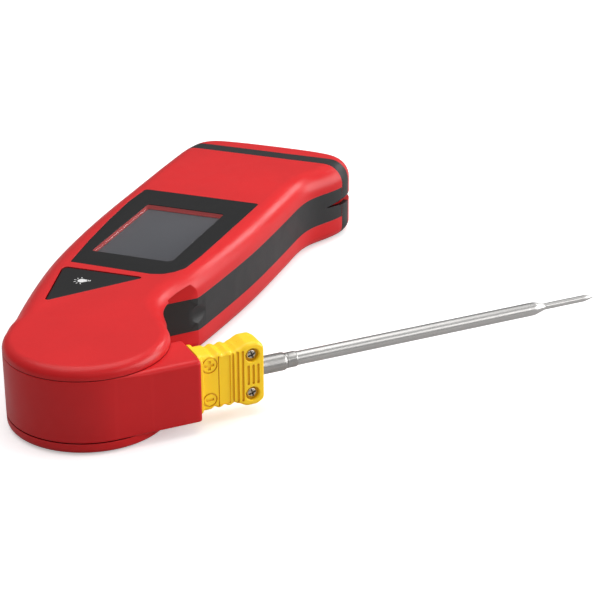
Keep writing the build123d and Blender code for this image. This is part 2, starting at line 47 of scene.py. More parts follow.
# ---------------------------------------------------------------- main dimensions (mm)
HEIGHT = 24.2
HUB_R = 22.0
BAY_LO, BAY_HI = 3.0, 21.0            # heights between which the arm turns
MID_Z = 12.0                          # shell split, and height of the probe's axis
STRIP_LO, STRIP_HI = 7.0, 17.0        # black side strips
BAND_X0, BAND_X1 = 142.0, 146.9       # black band around the handle
REST_ANGLE = -44.41                   # arm's direction about z, degrees
FOLDED_ANGLE = -3.0
PROBE_Y = -14.65
BOSS_END = 23.6                       # x where the arm's boss stops and the plug starts
PLUG_END = 42.7
TIP_END = 148.7

# Cutting tools run past the surface they open, up to these heights.
BELOW, ABOVE = -1.0, 30.0

# Display window in the top shell
WINDOW = [(41.3, 0.3), (42.4, -3.0), (44.8, -5.5), (48.6, -7.3), (58.0, -7.9), (72.0, -8.2),
          (88.0, -8.4), (101.8, -8.5), (101.6, 29.4), (90.0, 29.9), (74.6, 29.0), (58.0, 27.5),
          (41.6, 25.4)]
WINDOW_RADII = [0.8, 4.0, 5.0, 6.0, 0, 0, 0, 1.1, 1.1, 8.0, 0, 0, 0.5]
DISPLAY = (51.0, 90.2, -1.8, 23.4)    # x0, x1, y0, y1 of the lens opening
LEDGE = 0.3                           # width of the step under the lens
BEZEL_Z = 24.0
LENS_Z = 23.1

# Triangular key and its round stem
KEY = [(14.6, 19.9), (38.2, 26.0), (38.7, 0.6)]
KEY_RADII = [0.9, 1.6, 0.9]
STEM = (33.0, 15.5)

# Underside of the case
CASE_SCREWS = [(28.5, 26.4), (82.0, -9.2), (134.5, 28.6), (134.5, -9.6)]
DOOR = (90.0, 140.0, -2.6, 23.8)      # x0, x1, y0, y1

# Plug body, measured before the arm is turned
PLUG_Y0, PLUG_Y1 = -18.65, -10.75
FLANGE_Y0, FLANGE_Y1 = -20.0, -9.35
FLANGE_X0, FLANGE_X1 = BOSS_END + 0.1, BOSS_END + 1.25
SCREW_X = 39.3
SCREW_ZS = (MID_Z - 5.6, MID_Z + 5.6)

# Probe: the tube tapers between these two x positions
TAPER_X0, TAPER_X1 = 128.0, 131.3

# ---------------------------------------------------------------- body outline tables (x, y)
HUB_ANGLES = [-68, -86, -104, -122, -140, -158, -176, 166, 148, 130]
HUB_CONTROL_R = 20.0
PLUS_Y_SIDE = [(-9.0, 18.6), (-3.0, 22.1), (5.0, 24.7), (21.0, 28.9), (41.0, 32.9), (56.0, 34.6),
               (79.0, 35.9), (107.0, 36.2), (131.0, 36.2), (144.0, 35.7)]
FAR_END = [(151.5, 33.7), (155.6, 28.6), (156.8, 21.0), (157.2, 7.0), (156.8, -8.0),
           (155.4, -15.6), (151.4, -20.6)]
MINUS_Y_SIDE = [(144.6, -21.9), (139.6, -20.8), (135.6, -19.1), (131.6, -17.1), (127.6, -15.6),
                (121.5, -14.8), (111.0, -14.9), (94.0, -15.0), (80.0, -14.8), (66.0, -14.0),
                (52.0, -12.9)]
NECK = [(46.0, -12.3), (39.5, -10.9), (33.6, -10.3), (28.6, -10.5), (24.4, -11.8), (19.6, -14.6)]
OUTLINE_STEP = 0.45
HUB_RIM, HANDLE_RIM = 2.9, 6.2        # upper rim radius on the hub and on the handle
HUB_FOOT, HANDLE_FOOT = 1.6, 3.4      # lower rim radius on the hub and on the handle


# ---------------------------------------------------------------- closed outlines
def spline(points, samples=60):
    """Closed centripetal Catmull-Rom curve, with this many samples to a span."""
    points = np.asarray(points, float)
    count = len(points)

    def blend(a, b, ta, tb, t):
        return (tb - t) / (tb - ta) * a + (t - ta) / (tb - ta) * b

    curve = []
    for i in range(count):
        p0, p1, p2, p3 = points[i - 1], points[i], points[(i + 1) % count], points[(i + 2) % count]
        t0 = 0.0
        t1 = t0 + math.sqrt(np.linalg.norm(p1 - p0))
        t2 = t1 + math.sqrt(np.linalg.norm(p2 - p1))
        t3 = t2 + math.sqrt(np.linalg.norm(p3 - p2))
        for k in range(samples):
            t = t1 + (t2 - t1) * k / samples
            a1 = blend(p0, p1, t0, t1, t)
            a2 = blend(p1, p2, t1, t2, t)
            a3 = blend(p2, p3, t2, t3, t)
            curve.append(blend(blend(a1, a2, t0, t2, t), blend(a2, a3, t1, t3, t), t1, t2, t))
    return np.array(curve)


def resample(points, step):
    """Space the points of a closed outline evenly, about one step apart."""
    closed = np.vstack([points, points[:1]])
    lengths = np.linalg.norm(np.diff(closed, axis=0), axis=1)
    along = np.concatenate([[0], np.cumsum(lengths)])
    count = max(8, int(round(along[-1] / step)))
    t = np.linspace(0, along[-1], count, endpoint=False)
    return np.stack([np.interp(t, along, closed[:, 0]), np.interp(t, along, closed[:, 1])], axis=1)


def blur(values, sigma, step):
    """Gaussian blur of values spaced one step apart around a loop."""
    count = len(values)
    index = np.arange(count)
    distance = np.minimum(index, count - index) * step
    weights = np.exp(-0.5 * (distance / sigma) ** 2)
    weights /= weights.sum()
    return np.real(np.fft.ifft(np.fft.fft(values) * np.fft.fft(weights)))


def smooth(points, sigma, step):
    return np.stack([blur(points[:, i], sigma, step) for i in range(2)], axis=1)


def smooth_normals(points, sigma, step):
    """Blurred unit normals, pointing out of a clockwise outline."""
    tangents = np.roll(points, -1, axis=0) - np.roll(points, 1, axis=0)
    tangents /= np.linalg.norm(tangents, axis=1)[:, None]
    normals = smooth(np.stack([-tangents[:, 1], tangents[:, 0]], axis=1), sigma, step)
    return normals / np.linalg.norm(normals, axis=1)[:, None]


def clockwise(points):
    x, y = points[:, 0], points[:, 1]
    signed_area = 0.5 * np.sum(x * np.roll(y, -1) - np.roll(x, -1) * y)
    return points[::-1] if signed_area > 0 else points


def rect(x0, x1, y0, y1, grow=0.0):
    return [(x0 - grow, y0 - grow), (x1 + grow, y0 - grow),
            (x1 + grow, y1 + grow), (x0 - grow, y1 + grow)]


def round_poly(poly, radius, seg=8):
    """Polygon with its corners rounded; radius is one number or one per corner."""
    points = np.asarray(poly, float)
    count = len(points)
    radii = [radius] * count if np.isscalar(radius) else list(radius)
    rounded_points = []
    for i in range(count):
        before, corner, after = points[i - 1], points[i], points[(i + 1) % count]
        u = (before - corner) / np.linalg.norm(before - corner)
        v = (after - corner) / np.linalg.norm(after - corner)
        angle = math.acos(max(-1, min(1, float(np.dot(u, v)))))
        # sharp corners and nearly straight ones stay single points
        if radii[i] <= 0 or angle > 3.05:
            rounded_points.append(corner)
            continue
        setback = min(radii[i] / math.tan(angle / 2), 0.45 * np.linalg.norm(before - corner),
                      0.45 * np.linalg.norm(after - corner))
        r = setback * math.tan(angle / 2)
        centre = corner + (u + v) / np.linalg.norm(u + v) * (r / math.sin(angle / 2))
        start, end = corner + u * setback, corner + v * setback
        start_angle = math.atan2(start[1] - centre[1], start[0] - centre[0])
        sweep = math.atan2(end[1] - centre[1], end[0] - centre[0]) - start_angle
        while sweep > math.pi:
            sweep -= 2 * math.pi
        while sweep < -math.pi:
            sweep += 2 * math.pi
        for k in range(seg + 1):
            t = start_angle + sweep * k / seg
            rounded_points.append(centre + r * np.array([math.cos(t), math.sin(t)]))
    return np.array(rounded_points)


def inset_poly(points, distance):
    """Clockwise copy of a polygon with every edge moved in by distance."""
    points = clockwise(np.asarray(points, float))
    count = len(points)
    moved = []
    for i in range(count):
        a, b, c = points[i - 1], points[i], points[(i + 1) % count]
        u, v = (b - a) / np.linalg.norm(b - a), (c - b) / np.linalg.norm(c - b)
        n1, n2 = np.array([-u[1], u[0]]), np.array([-v[1], v[0]])
        moved.append(b - (n1 + n2) / (1 + float(np.dot(n1, n2))) * distance)
    return np.array(moved)


def body_outline():
    """Hub and handle outline: the splined handle, closed with the hub's true arc."""
    control = [(HUB_CONTROL_R * math.cos(math.radians(a)), HUB_CONTROL_R * math.sin(math.radians(a)))
               for a in HUB_ANGLES]
    control += PLUS_Y_SIDE + FAR_END + MINUS_Y_SIDE + NECK
    curve = smooth(resample(spline(control), OUTLINE_STEP), 1.9, OUTLINE_STEP)
    outside = np.linalg.norm(curve, axis=1) > HUB_R
    first = int(np.argmax(outside & ~np.roll(outside, 1)))
    count = int(np.argmin(np.roll(outside, -first)))
    handle = np.roll(curve, -first, axis=0)[:count]
    arc_start = math.atan2(handle[-1][1], handle[-1][0])
    arc_end = math.atan2(handle[0][1], handle[0][0])
    while arc_start < arc_end:
        arc_start += 2 * math.pi
    arc_count = int((arc_start - arc_end) * HUB_R / OUTLINE_STEP)
    angles = [arc_start + (arc_end - arc_start) * (k + 1) / (arc_count + 1)
              for k in range(arc_count)]
    arc = np.array([(HUB_R * math.cos(a), HUB_R * math.sin(a)) for a in angles])
    outline = resample(np.vstack([handle, arc]), OUTLINE_STEP)
    return clockwise(smooth(outline, 0.9, OUTLINE_STEP))


def body_rims(outline, blend_width=3.2, blur_width=3.0):
    """Upper and lower rim radii along the outline: small on the hub, large on the handle."""
    weight = np.clip((np.linalg.norm(outline, axis=1) - HUB_R) / blend_width, 0, 1)
    weight = weight * weight * (3 - 2 * weight)
    upper = HUB_RIM + (HANDLE_RIM - HUB_RIM) * weight
    upper = blur(upper, blur_width, OUTLINE_STEP)
    lower = HUB_FOOT + (HANDLE_FOOT - HUB_FOOT) * (upper - HUB_RIM) / (HANDLE_RIM - HUB_RIM)
    return upper, lower


OUTLINE = body_outline()
NORMALS = smooth_normals(OUTLINE, 1.6, OUTLINE_STEP)
UPPER_RIM, LOWER_RIM = body_rims(OUTLINE)
WINDOW_OUTLINE = round_poly(WINDOW, WINDOW_RADII, seg=6)
LENS_OUTLINE = round_poly(rect(*DISPLAY), [2.0, 0.9, 0.9, 0.9], seg=6)
KEY_OUTLINE = round_poly(KEY, KEY_RADII, seg=10)


# ---------------------------------------------------------------- solids
def quarter(steps):
    """Angles of a quarter turn, both ends included."""
    return [math.pi / 2 * k / steps for k in range(steps + 1)]


def full_turn(seg):
    return np.arange(seg) * 2 * math.pi / seg


def link_object(mesh):
    ob = bpy.data.objects.new("part", mesh)
    bpy.context.scene.collection.objects.link(ob)
    return ob


def ring_solid(rings):
    """Closed solid through rings of equal point count, with flat ends."""
    count = len(rings[0])
    verts = np.vstack(rings)
    faces = []
    for ring in range(len(rings) - 1):
        a, b = ring * count, (ring + 1) * count
        for i in range(count):
            j = (i + 1) % count
            faces.append((a + i, a + j, b + j, b + i))
    faces.append(list(range(count))[::-1])
    faces.append([(len(rings) - 1) * count + i for i in range(count)])
    mesh = bpy.data.meshes.new("part")
    mesh.from_pydata([tuple(map(float, v)) for v in verts], [], faces)
    mesh.update()
    ob = link_object(mesh)
    bm = bmesh.new()
    bm.from_mesh(mesh)
    bmesh.ops.recalc_face_normals(bm, faces=bm.faces)
    bm.to_mesh(mesh)
    bm.free()
    return ob


def rounded_solid(outline, normals, z0, z1, lower, upper, seg, inset=0.0):
    """Extrusion with rounded rims, whose radii may vary along the outline."""
    lower = np.broadcast_to(np.asarray(lower, float), (len(outline),))
    upper = np.broadcast_to(np.asarray(upper, float), (len(outline),))
    rings = []
    for t in quarter(seg):
        inward = inset + lower * (1 - math.sin(t))
        z = z0 + lower * (1 - math.cos(t))
        rings.append(np.column_stack([outline - normals * inward[:, None], z]))
    for t in quarter(seg):
        inward = inset + upper * (1 - math.cos(t))
        z = z1 - upper * (1 - math.sin(t))
        rings.append(np.column_stack([outline - normals * inward[:, None], z]))
    return ring_solid(rings)


def rim_prism(outline, z0, z1, upper, lower=0.0, steps=4):
    """Prism with a small rounded upper rim and, if lower is given, a lower one."""
    def ring(inward, z):
        points = inset_poly(outline, inward)
        return np.column_stack([points, np.full(len(points), z)])

    if lower > 0:
        rings = [ring(lower * (1 - math.sin(t)), z0 + lower * (1 - math.cos(t)))
                 for t in quarter(steps)]
    else:
        rings = [ring(0, z0)]
    rings += [ring(upper * (1 - math.cos(t)), z1 - upper * (1 - math.sin(t)))
              for t in quarter(steps)]
    return ring_solid(rings)


def prism(poly, z0, z1):
    points = np.asarray(poly, float)
    return ring_solid([np.column_stack([points, np.full(len(points), z)]) for z in (z0, z1)])


def prism_y(poly_xz, y0, y1):
    """Prism along y from an (x, z) polygon."""
    points = np.asarray(poly_xz, float)
    return ring_solid([np.column_stack([points[:, 0], np.full(len(points), y), points[:, 1]])
                       for y in (y0, y1)])


def box(x0, x1, y0, y1, z0, z1):
    return prism(rect(x0, x1, y0, y1), z0, z1)


def cylinder(x, y, z0, z1, r, seg):
    t = full_turn(seg)
    return prism(np.column_stack([x + r * np.cos(t), y + r * np.sin(t)]), z0, z1)


def tube(z0, z1, outer_r, inner_r, seg):
    """Ring about the hub's axis; the inner tool overshoots both ends."""
    return cut(cylinder(0, 0, z0, z1, outer_r, seg), cylinder(0, 0, -2, 31, inner_r, 120))


def probe_lathe(profile, seg, reshape=None):
    """Solid of revolution about the probe's axis from (x, radius) pairs."""
    t = full_turn(seg)
    rings = []
    for x, r in profile:
        radius = np.full(seg, float(r))
        if reshape is not None:
            radius = reshape(x, radius, t)
        rings.append(np.column_stack([np.full(seg, x), PROBE_Y + radius * np.cos(t),
                                      MID_Z + radius * np.sin(t)]))
    return ring_solid(rings)


def lathe_y(profile, x, z, seg):
    """Solid of revolution about a line along y from (y, radius) pairs."""
    t = full_turn(seg)
    return ring_solid([np.column_stack([x + r * np.cos(t), np.full(seg, y), z + r * np.sin(t)])
                       for y, r in profile])


# ---------------------------------------------------------------- mesh operations
def drop(ob):
    mesh = ob.data
    bpy.data.objects.remove(ob)
    bpy.data.meshes.remove(mesh)


def copy(ob):
    return link_object(ob.data.copy())


def boolean_mesh(target, tool, operation, solver):
    modifier = target.modifiers.new("boolean", "BOOLEAN")
    modifier.operation = operation
    modifier.object = tool
    # guards against a build that doesn't offer the manifold solver
    try:
        modifier.solver = solver
    except TypeError:
        modifier.solver = "EXACT"
    graph = bpy.context.evaluated_depsgraph_get()
    graph.update()
    mesh = bpy.data.meshes.new_from_object(target.evaluated_get(graph))
    target.modifiers.clear()
    return mesh


def boolean(target, tools, operation, keep):
    """Apply the tools one after another and remove them unless keep is set."""
    for tool in tools:
        mesh = boolean_mesh(target, tool, operation, "MANIFOLD")
        # an empty cut or union means the manifold solver gave up
        if len(mesh.polygons) == 0 and operation != "INTERSECT":
            bpy.data.meshes.remove(mesh)
            mesh = boolean_mesh(target, tool, operation, "EXACT")
        old = target.data
        target.data = mesh
        bpy.data.meshes.remove(old)
        if not keep:
            drop(tool)
    return target


def cut(target, *tools, keep=False):
    return boolean(target, tools, "DIFFERENCE", keep)


def join(target, *tools):
    return boolean(target, tools, "UNION", False)


def common(target, tool, keep=False):
    return boolean(target, [tool], "INTERSECT", keep)


def biggest(ob):
    """Keep only the loose part with the most vertices."""
    bm = bmesh.new()
    bm.from_mesh(ob.data)
    bm.verts.ensure_lookup_table()
    seen = set()
    groups = []
    for vert in bm.verts:
        if vert.index in seen:
            continue
        waiting, group = [vert], []
        seen.add(vert.index)
        while waiting:
            current = waiting.pop()
            group.append(current)
            for edge in current.link_edges:
                other = edge.other_vert(current)
                if other.index not in seen:
                    seen.add(other.index)
                    waiting.append(other)
        groups.append(group)
    groups.sort(key=lambda group: -len(group))
    for group in groups[1:]:
        bmesh.ops.delete(bm, geom=group, context="VERTS")
    bm.to_mesh(ob.data)
    bm.free()
    return ob


def merge_close(mesh):
    bm = bmesh.new()
    bm.from_mesh(mesh)
    bmesh.ops.remove_doubles(bm, verts=bm.verts, dist=1e-4)
    bmesh.ops.dissolve_degenerate(bm, dist=1e-5, edges=bm.edges)
    bm.to_mesh(mesh)
    bm.free()


def dress(ob, material):
    ob.data.materials.clear()
    ob.data.materials.append(material)


def finish_piece(ob, name, material, body, crease=32.0, in_cad=True):
    """Name, turn, scale, shade and register a piece; in_cad pieces replace their CAD namesake."""
    ob.name = "v_" + name
    mesh = ob.data
    mesh.name = ob.name
    merge_close(mesh)
    if body in ("arm", "probe"):
        mesh.transform(Matrix.Rotation(math.radians(REST_ANGLE), 4, "Z"))
    mesh.transform(Matrix.Scale(MM, 4))
    for face in mesh.polygons:
        face.use_smooth = True
    mesh.set_sharp_from_angle(angle=math.radians(crease))
    mesh.update()
    dress(ob, material)
    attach(ob, body)
    if in_cad:
        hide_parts(name)


# ---------------------------------------------------------------- shader node helpers (metres)
def set_inputs(tree, node, inputs):
    """Link each input to a socket or give it a value."""
    for key, value in inputs.items():
        if isinstance(value, bpy.types.NodeSocket):
            tree.links.new(value, node.inputs[key])
        else:
            node.inputs[key].default_value = value


def add_node(tree, kind, inputs=None, **settings):
    node = tree.nodes.new("ShaderNode" + kind)
    for key, value in settings.items():
        setattr(node, key, value)
    set_inputs(tree, node, inputs or {})
    return node


def blank_tree(owner, output):
    """Emptied node tree of a material or world, and its new output node."""
    owner.use_nodes = True
    tree = owner.node_tree
    tree.nodes.clear()
    return tree, add_node(tree, output)


def principled(name):
    material = bpy.data.materials.new(name)
    tree, out = blank_tree(material, "OutputMaterial")
    shader = add_node(tree, "BsdfPrincipled")
    set_inputs(tree, out, {0: shader.outputs[0]})
    return material, tree, shader


def coords(tree, scale=(1, 1, 1), rotation=(0, 0, 0)):
    texture = add_node(tree, "TexCoord")
    mapping = add_node(tree, "Mapping", {"Scale": scale, "Rotation": rotation,
                                         "Vector": texture.outputs["Object"]})
    return mapping.outputs["Vector"]


def noise(tree, coord, scale, detail, rough, distortion=0.0):
    node = add_node(tree, "TexNoise", {"Scale": scale, "Detail": detail, "Roughness": rough,
                                       "Distortion": distortion, "Vector": coord})
    return node.outputs["Fac"]


def map_range(tree, source, to_low, to_high, low=0.3, high=0.7):
    node = add_node(tree, "MapRange", {"From Min": low, "From Max": high, "To Min": to_low,
                                       "To Max": to_high, "Value": source})
    return node.outputs["Result"]


def mix_color(tree, factor, a, b, blend="MIX"):
    """Mix two colours, each a socket or an rgb tuple."""
    a, b = (c if isinstance(c, bpy.types.NodeSocket) else (*c, 1.0) for c in (a, b))
    node = add_node(tree, "Mix", {6: a, 7: b, 0: factor}, data_type="RGBA", blend_type=blend)
    return node.outputs[2]


def mix_shader(tree, factor, a, b):
    return add_node(tree, "MixShader", {0: factor, 1: a, 2: b}).outputs[0]


def math_node(tree, operation, a, b):
    return add_node(tree, "Math", {0: a, 1: b}, operation=operation).outputs[0]


def bump(tree, height, distance, strength, normal):
    node = add_node(tree, "Bump", {"Distance": distance, "Strength": strength,
                                   "Height": height, "Normal": normal})
    return node.outputs["Normal"]


def soft_edges(tree, radius):
    return add_node(tree, "Bevel", {"Radius": radius}, samples=6).outputs["Normal"]


def paint_recess_shade(tree, color, reach, recess_shade_color, low, high):
    # Painted shade: the colour darkens towards recess_shade_color where ambient occlusion finds
    # surfaces within reach.
    occlusion = add_node(tree, "AmbientOcclusion", {"Distance": reach}, samples=8)
    factor = map_range(tree, occlusion.outputs["AO"], 0.0, 1.0, low, high)
    return mix_color(tree, factor, recess_shade_color, color)


# ---------------------------------------------------------------- material kinds
def plastic(name, base, rough, grain=0.00004, grain_scale=3200.0, edge=0.0002, specular=0.5,
            coat=0.0, subsurface=0.0, painted_edge_highlight=0.06, glow=0.0, recess_shade_reach=0.0, recess_shade_color=None):
    """Moulded plastic with a faint grain, a painted highlight on sharp edges, optional painted shade
    in recesses and an optional painted glow.

    grain is the bump height, edge the softened edge radius and recess_shade_reach the reach of the
    occlusion that paints shade into recesses, all in metres; painted_edge_highlight is how far
    sharp edges lighten as a painted highlight, and glow is an emission strength, a painted glow.
    """
    material, tree, shader = principled(name)
    coord = coords(tree)
    cloud = noise(tree, coord, scale=28.0, detail=5.0, rough=0.6)
    vary = 0.06
    dark = tuple(c * (1 - vary) for c in base)
    light = tuple(min(1.0, c * (1 + vary)) for c in base)
    color = mix_color(tree, map_range(tree, cloud, 0.0, 1.0), dark, light)
    # painted highlight: sharp convex edges, found by pointiness, are lightened towards a brighter
    # copy of the base
    geometry = add_node(tree, "NewGeometry")
    edge_highlight_mask = map_range(tree, geometry.outputs["Pointiness"], 0.0, painted_edge_highlight,
                            low=0.52, high=0.62)
    color = mix_color(tree, edge_highlight_mask, color, tuple(min(1.0, c * 1.3 + 0.03) for c in base))
    # painted shade: ambient occlusion darkens recesses towards recess_shade_color
    if recess_shade_reach:
        color = paint_recess_shade(tree, color, recess_shade_reach, recess_shade_color, low=0.28, high=0.78)
    smear = noise(tree, coord, scale=55.0, detail=6.0, rough=0.62, distortion=0.6)
    roughness = map_range(tree, smear, rough * 0.86, rough * 1.16)
    fine = noise(tree, coord, scale=grain_scale, detail=3.0, rough=0.6)
    wave = noise(tree, coord, scale=90.0, detail=2.0, rough=0.5)
    normal = soft_edges(tree, edge)
    normal = bump(tree, wave, distance=0.00012, strength=0.06, normal=normal)
    normal = bump(tree, fine, distance=grain, strength=0.35, normal=normal)
    set_inputs(tree, shader, {"Base Color": color, "Roughness": roughness, "Normal": normal,
                              "Specular IOR Level": specular, "Coat Weight": coat,
                              "Coat Roughness": 0.2})
    # painted glow: the surface emits its own colour, though the part is no lamp
    if glow:
        set_inputs(tree, shader, {"Emission Color": color, "Emission Strength": glow})
    if subsurface:
        set_inputs(tree, shader, {"Subsurface Weight": subsurface,
                                  "Subsurface Radius": (0.0012, 0.0004, 0.0002),
                                  "Subsurface Scale": 1.0})
    return material


def metal(name, base, rough, stretch=None, streak=0.35, recess_shade_reach=0.0, edge=0.00015):
    """Metal with fine darker streaks and optional painted shade in recesses; stretch is the noise
    scale along and across the arm.
    """
    material, tree, shader = principled(name)
    if stretch:
        coord = coords(tree, stretch, (0, 0, math.radians(-REST_ANGLE)))
        fine = noise(tree, coord, scale=1.0, detail=3.0, rough=0.6)
    else:
        fine = noise(tree, coords(tree), scale=2400.0, detail=3.0, rough=0.6)
    cloud = noise(tree, coords(tree), scale=60.0, detail=5.0, rough=0.6)
    tint = 0.1
    color = mix_color(tree, map_range(tree, cloud, 0.0, 1.0),
                      tuple(c * (1 - tint) for c in base), base)
    color = mix_color(tree, map_range(tree, fine, 0.0, streak), color,
                      tuple(c * 0.62 for c in base))
    # painted shade: ambient occlusion darkens recesses towards a near-black copy of the base
    if recess_shade_reach:
        color = paint_recess_shade(tree, color, recess_shade_reach, tuple(c * 0.07 for c in base),
                                low=0.30, high=0.80)
    roughness = map_range(tree, fine, rough * 0.75, rough * 1.35)
    normal = bump(tree, fine, distance=0.000012, strength=0.35, normal=soft_edges(tree, edge))
    set_inputs(tree, shader, {"Base Color": color, "Metallic": 1.0, "Roughness": roughness,
                              "Normal": normal})
    return material


def clear_lens():
    """Clear pane: only its upward faces mirror the room, its edge walls stay clear."""
    material = bpy.data.materials.new("lens_clear")
    tree, out = blank_tree(material, "OutputMaterial")
    clear = add_node(tree, "BsdfTransparent", {0: (0.84, 0.845, 0.86, 1)})
    gloss = add_node(tree, "BsdfGlossy", {"Roughness": 0.06})
    haze = noise(tree, coords(tree), scale=45.0, detail=5.0, rough=0.6)
    set_inputs(tree, gloss, {"Roughness": map_range(tree, haze, 0.05, 0.11)})
    fresnel = add_node(tree, "Fresnel", {"IOR": 1.38})
    reflection = math_node(tree, "MULTIPLY", fresnel.outputs[0], 0.35)
    geometry = add_node(tree, "NewGeometry")
    axes = add_node(tree, "SeparateXYZ", {0: geometry.outputs["Normal"]})
    upward = math_node(tree, "GREATER_THAN", axes.outputs["Z"], 0.6)
    factor = math_node(tree, "MULTIPLY", reflection, upward)
    surface = mix_shader(tree, factor, clear.outputs[0], gloss.outputs[0])
    set_inputs(tree, out, {0: surface})
    return material


def lcd_surface():
    """Unlit display: grey with a faint lighter field and a very fine grid of cells."""
    material, tree, shader = principled("lcd_surface")
    coord = coords(tree)
    cloud = noise(tree, coord, scale=30.0, detail=3.0, rough=0.5)
    field = mix_color(tree, map_range(tree, cloud, 0.0, 1.0),
                      (0.100, 0.100, 0.112), (0.118, 0.118, 0.132))
    cell = 0.0005
    grid = add_node(tree, "TexBrick", {
        "Scale": 1.0, "Mortar Size": 0.00003, "Brick Width": cell, "Row Height": cell,
        "Color1": (1, 1, 1, 1), "Color2": (0.97, 0.97, 0.97, 1), "Mortar": (0.86, 0.86, 0.86, 1),
        "Vector": coord}, offset=0.0)
    color = mix_color(tree, 1.0, field, grid.outputs["Color"], blend="MULTIPLY")
    set_inputs(tree, shader, {"Base Color": color,
                              "Roughness": map_range(tree, cloud, 0.42, 0.50),
                              "Specular IOR Level": 0.35})
    return material


# ---------------------------------------------------------------- materials
# Red shell: recesses get painted shade (occlusion towards dark red) and sharp edges the default
# painted highlight.
RED = plastic("red_plastic", (0.70, 0.0105, 0.0135), rough=0.34, grain=0.00003, specular=0.36,
              edge=0.00025, recess_shade_reach=0.00045, recess_shade_color=(0.16, 0.003, 0.004))
# Walls of the lens opening: a lighter red that glows, painted light standing in for the light
# reaching them through the lens.
RED_WALL_PAINTED_LIGHT = plastic("red_window_wall_painted_light", (0.62, 0.105, 0.100), rough=0.6, grain=0.00002,
                   specular=0.1, glow=0.26)
RED_INSIDE = plastic("red_plastic_inside", (0.50, 0.010, 0.015), rough=0.45, grain=0.00003)
# Black inlay: painted shade darkens it up to 9 mm into recesses, and sharp edges get a stronger
# painted highlight.
BLACK = plastic("black_inlay_plastic", (0.019, 0.019, 0.020), rough=0.44, grain=0.00008,
                grain_scale=2600.0, specular=0.38, painted_edge_highlight=0.15, recess_shade_reach=0.009,
                recess_shade_color=(0.002, 0.002, 0.002))
BEZEL = plastic("bezel_plastic", (0.008, 0.008, 0.0085), rough=0.42, grain=0.00002, specular=0.28)
KEY_BLACK = plastic("key_plastic", (0.010, 0.010, 0.0105), rough=0.42, grain=0.00005,
                    specular=0.3)
# Yellow plug: the glow is a painted glow for light passing through the plastic, its edges get a
# strong painted highlight and its grooves and marks painted shade in brown.
YELLOW = plastic("yellow_plug_plastic", (0.95, 0.60, 0.012), rough=0.34, subsurface=0.06,
                 edge=0.00014, painted_edge_highlight=0.25, glow=0.23, recess_shade_reach=0.0009,
                 recess_shade_color=(0.50, 0.22, 0.004))
WHITE = plastic("white_plastic", (0.78, 0.78, 0.76), rough=0.5)
BOARD = plastic("board_mask", (0.012, 0.11, 0.035), rough=0.3, coat=0.4)
CHIP = plastic("chip_epoxy", (0.012, 0.012, 0.013), rough=0.55)
SILICONE = plastic("silicone_strip", (0.55, 0.30, 0.34), rough=0.6)
SEAL = plastic("seal_rubber", (0.012, 0.012, 0.012), rough=0.65, grain=0.00008)
POST = plastic("post_nylon", (0.10, 0.10, 0.11), rough=0.5)
BUSH = plastic("acetal_bush", (0.74, 0.73, 0.68), rough=0.42, subsurface=0.2)
SOCKET = plastic("socket_plastic", (0.72, 0.36, 0.02), rough=0.45)
WIRE = plastic("wire_jacket", (0.60, 0.42, 0.03), rough=0.42)
CELL = plastic("cell_wrap", (0.015, 0.035, 0.10), rough=0.28, coat=0.5)
REED = plastic("reed_glass", (0.25, 0.36, 0.30), rough=0.12)
STEEL = metal("stainless_ground", (0.50, 0.49, 0.475), rough=0.34, streak=0.22,
              stretch=(9000.0, 120.0, 120.0))      # streaks run around the probe
STEEL_TUBE = metal("stainless_tube", (0.64, 0.63, 0.615), rough=0.30, streak=0.30,
                   stretch=(60.0, 9000.0, 9000.0))  # streaks run along the probe
# Screw heads: painted shade darkens the cross recess.
SCREW = metal("screw_steel", (0.66, 0.60, 0.52), rough=0.2, streak=0.2, recess_shade_reach=0.0007,
              edge=0.0001)
SPRING = metal("spring_steel", (0.66, 0.66, 0.65), rough=0.22)
BRASS = metal("brass_clip", (0.72, 0.52, 0.22), rough=0.26)
PIN = metal("blade_alloy", (0.60, 0.57, 0.52), rough=0.3)
MAGNET = metal("magnet_nickel", (0.62, 0.62, 0.64), rough=0.15)
LENS = clear_lens()
LCD = lcd_surface()
PRINT = plastic("white_print", (0.80, 0.80, 0.80), rough=0.5)


# ---------------------------------------------------------------- case
def case_cavity(top_wall=2.4, floor_wall=2.2, hub_wall=2.6):
    """Hollow of the handle, leaving the hub and the walls of the arm's pocket solid."""
    core = rounded_solid(OUTLINE, NORMALS, floor_wall, HEIGHT - top_wall, 0.8,
                         np.maximum(UPPER_RIM - top_wall, 0.8), seg=6, inset=top_wall)
    pocket_walls = [(52.0, -15.4), (38.9, -2.5), (35.0, -1.9), (14.0, -1.9), (8.0, -24.0),
                    (30.0, -32.0)]
    solid = join(cylinder(0, 0, 0, ABOVE, HUB_R + hub_wall, 160),
                 prism(pocket_walls, 0.0, ABOVE))
    return cut(core, solid)


def tip_scoop():
    """Tapering round hollow where the plug lies when folded, along the folded direction."""
    start_r, end_r, length, rings_count = 6.2, 2.3, 12.0, 8
    t = full_turn(72)
    angle = math.radians(FOLDED_ANGLE)
    along = np.array([math.cos(angle), math.sin(angle), 0])
    across = np.array([-along[1], along[0], 0])
    up = np.array([0, 0, 1.0])
    start = np.array([40.0, -15.3, MID_Z])
    rings = []
    for k in range(rings_count + 1):
        part = k / rings_count
        r = start_r + (end_r - start_r) * part
        centre = start + along * length * part
        rings.append(centre + np.outer(r * np.cos(t), across) + np.outer(r * np.sin(t), up))
    return ring_solid(rings)


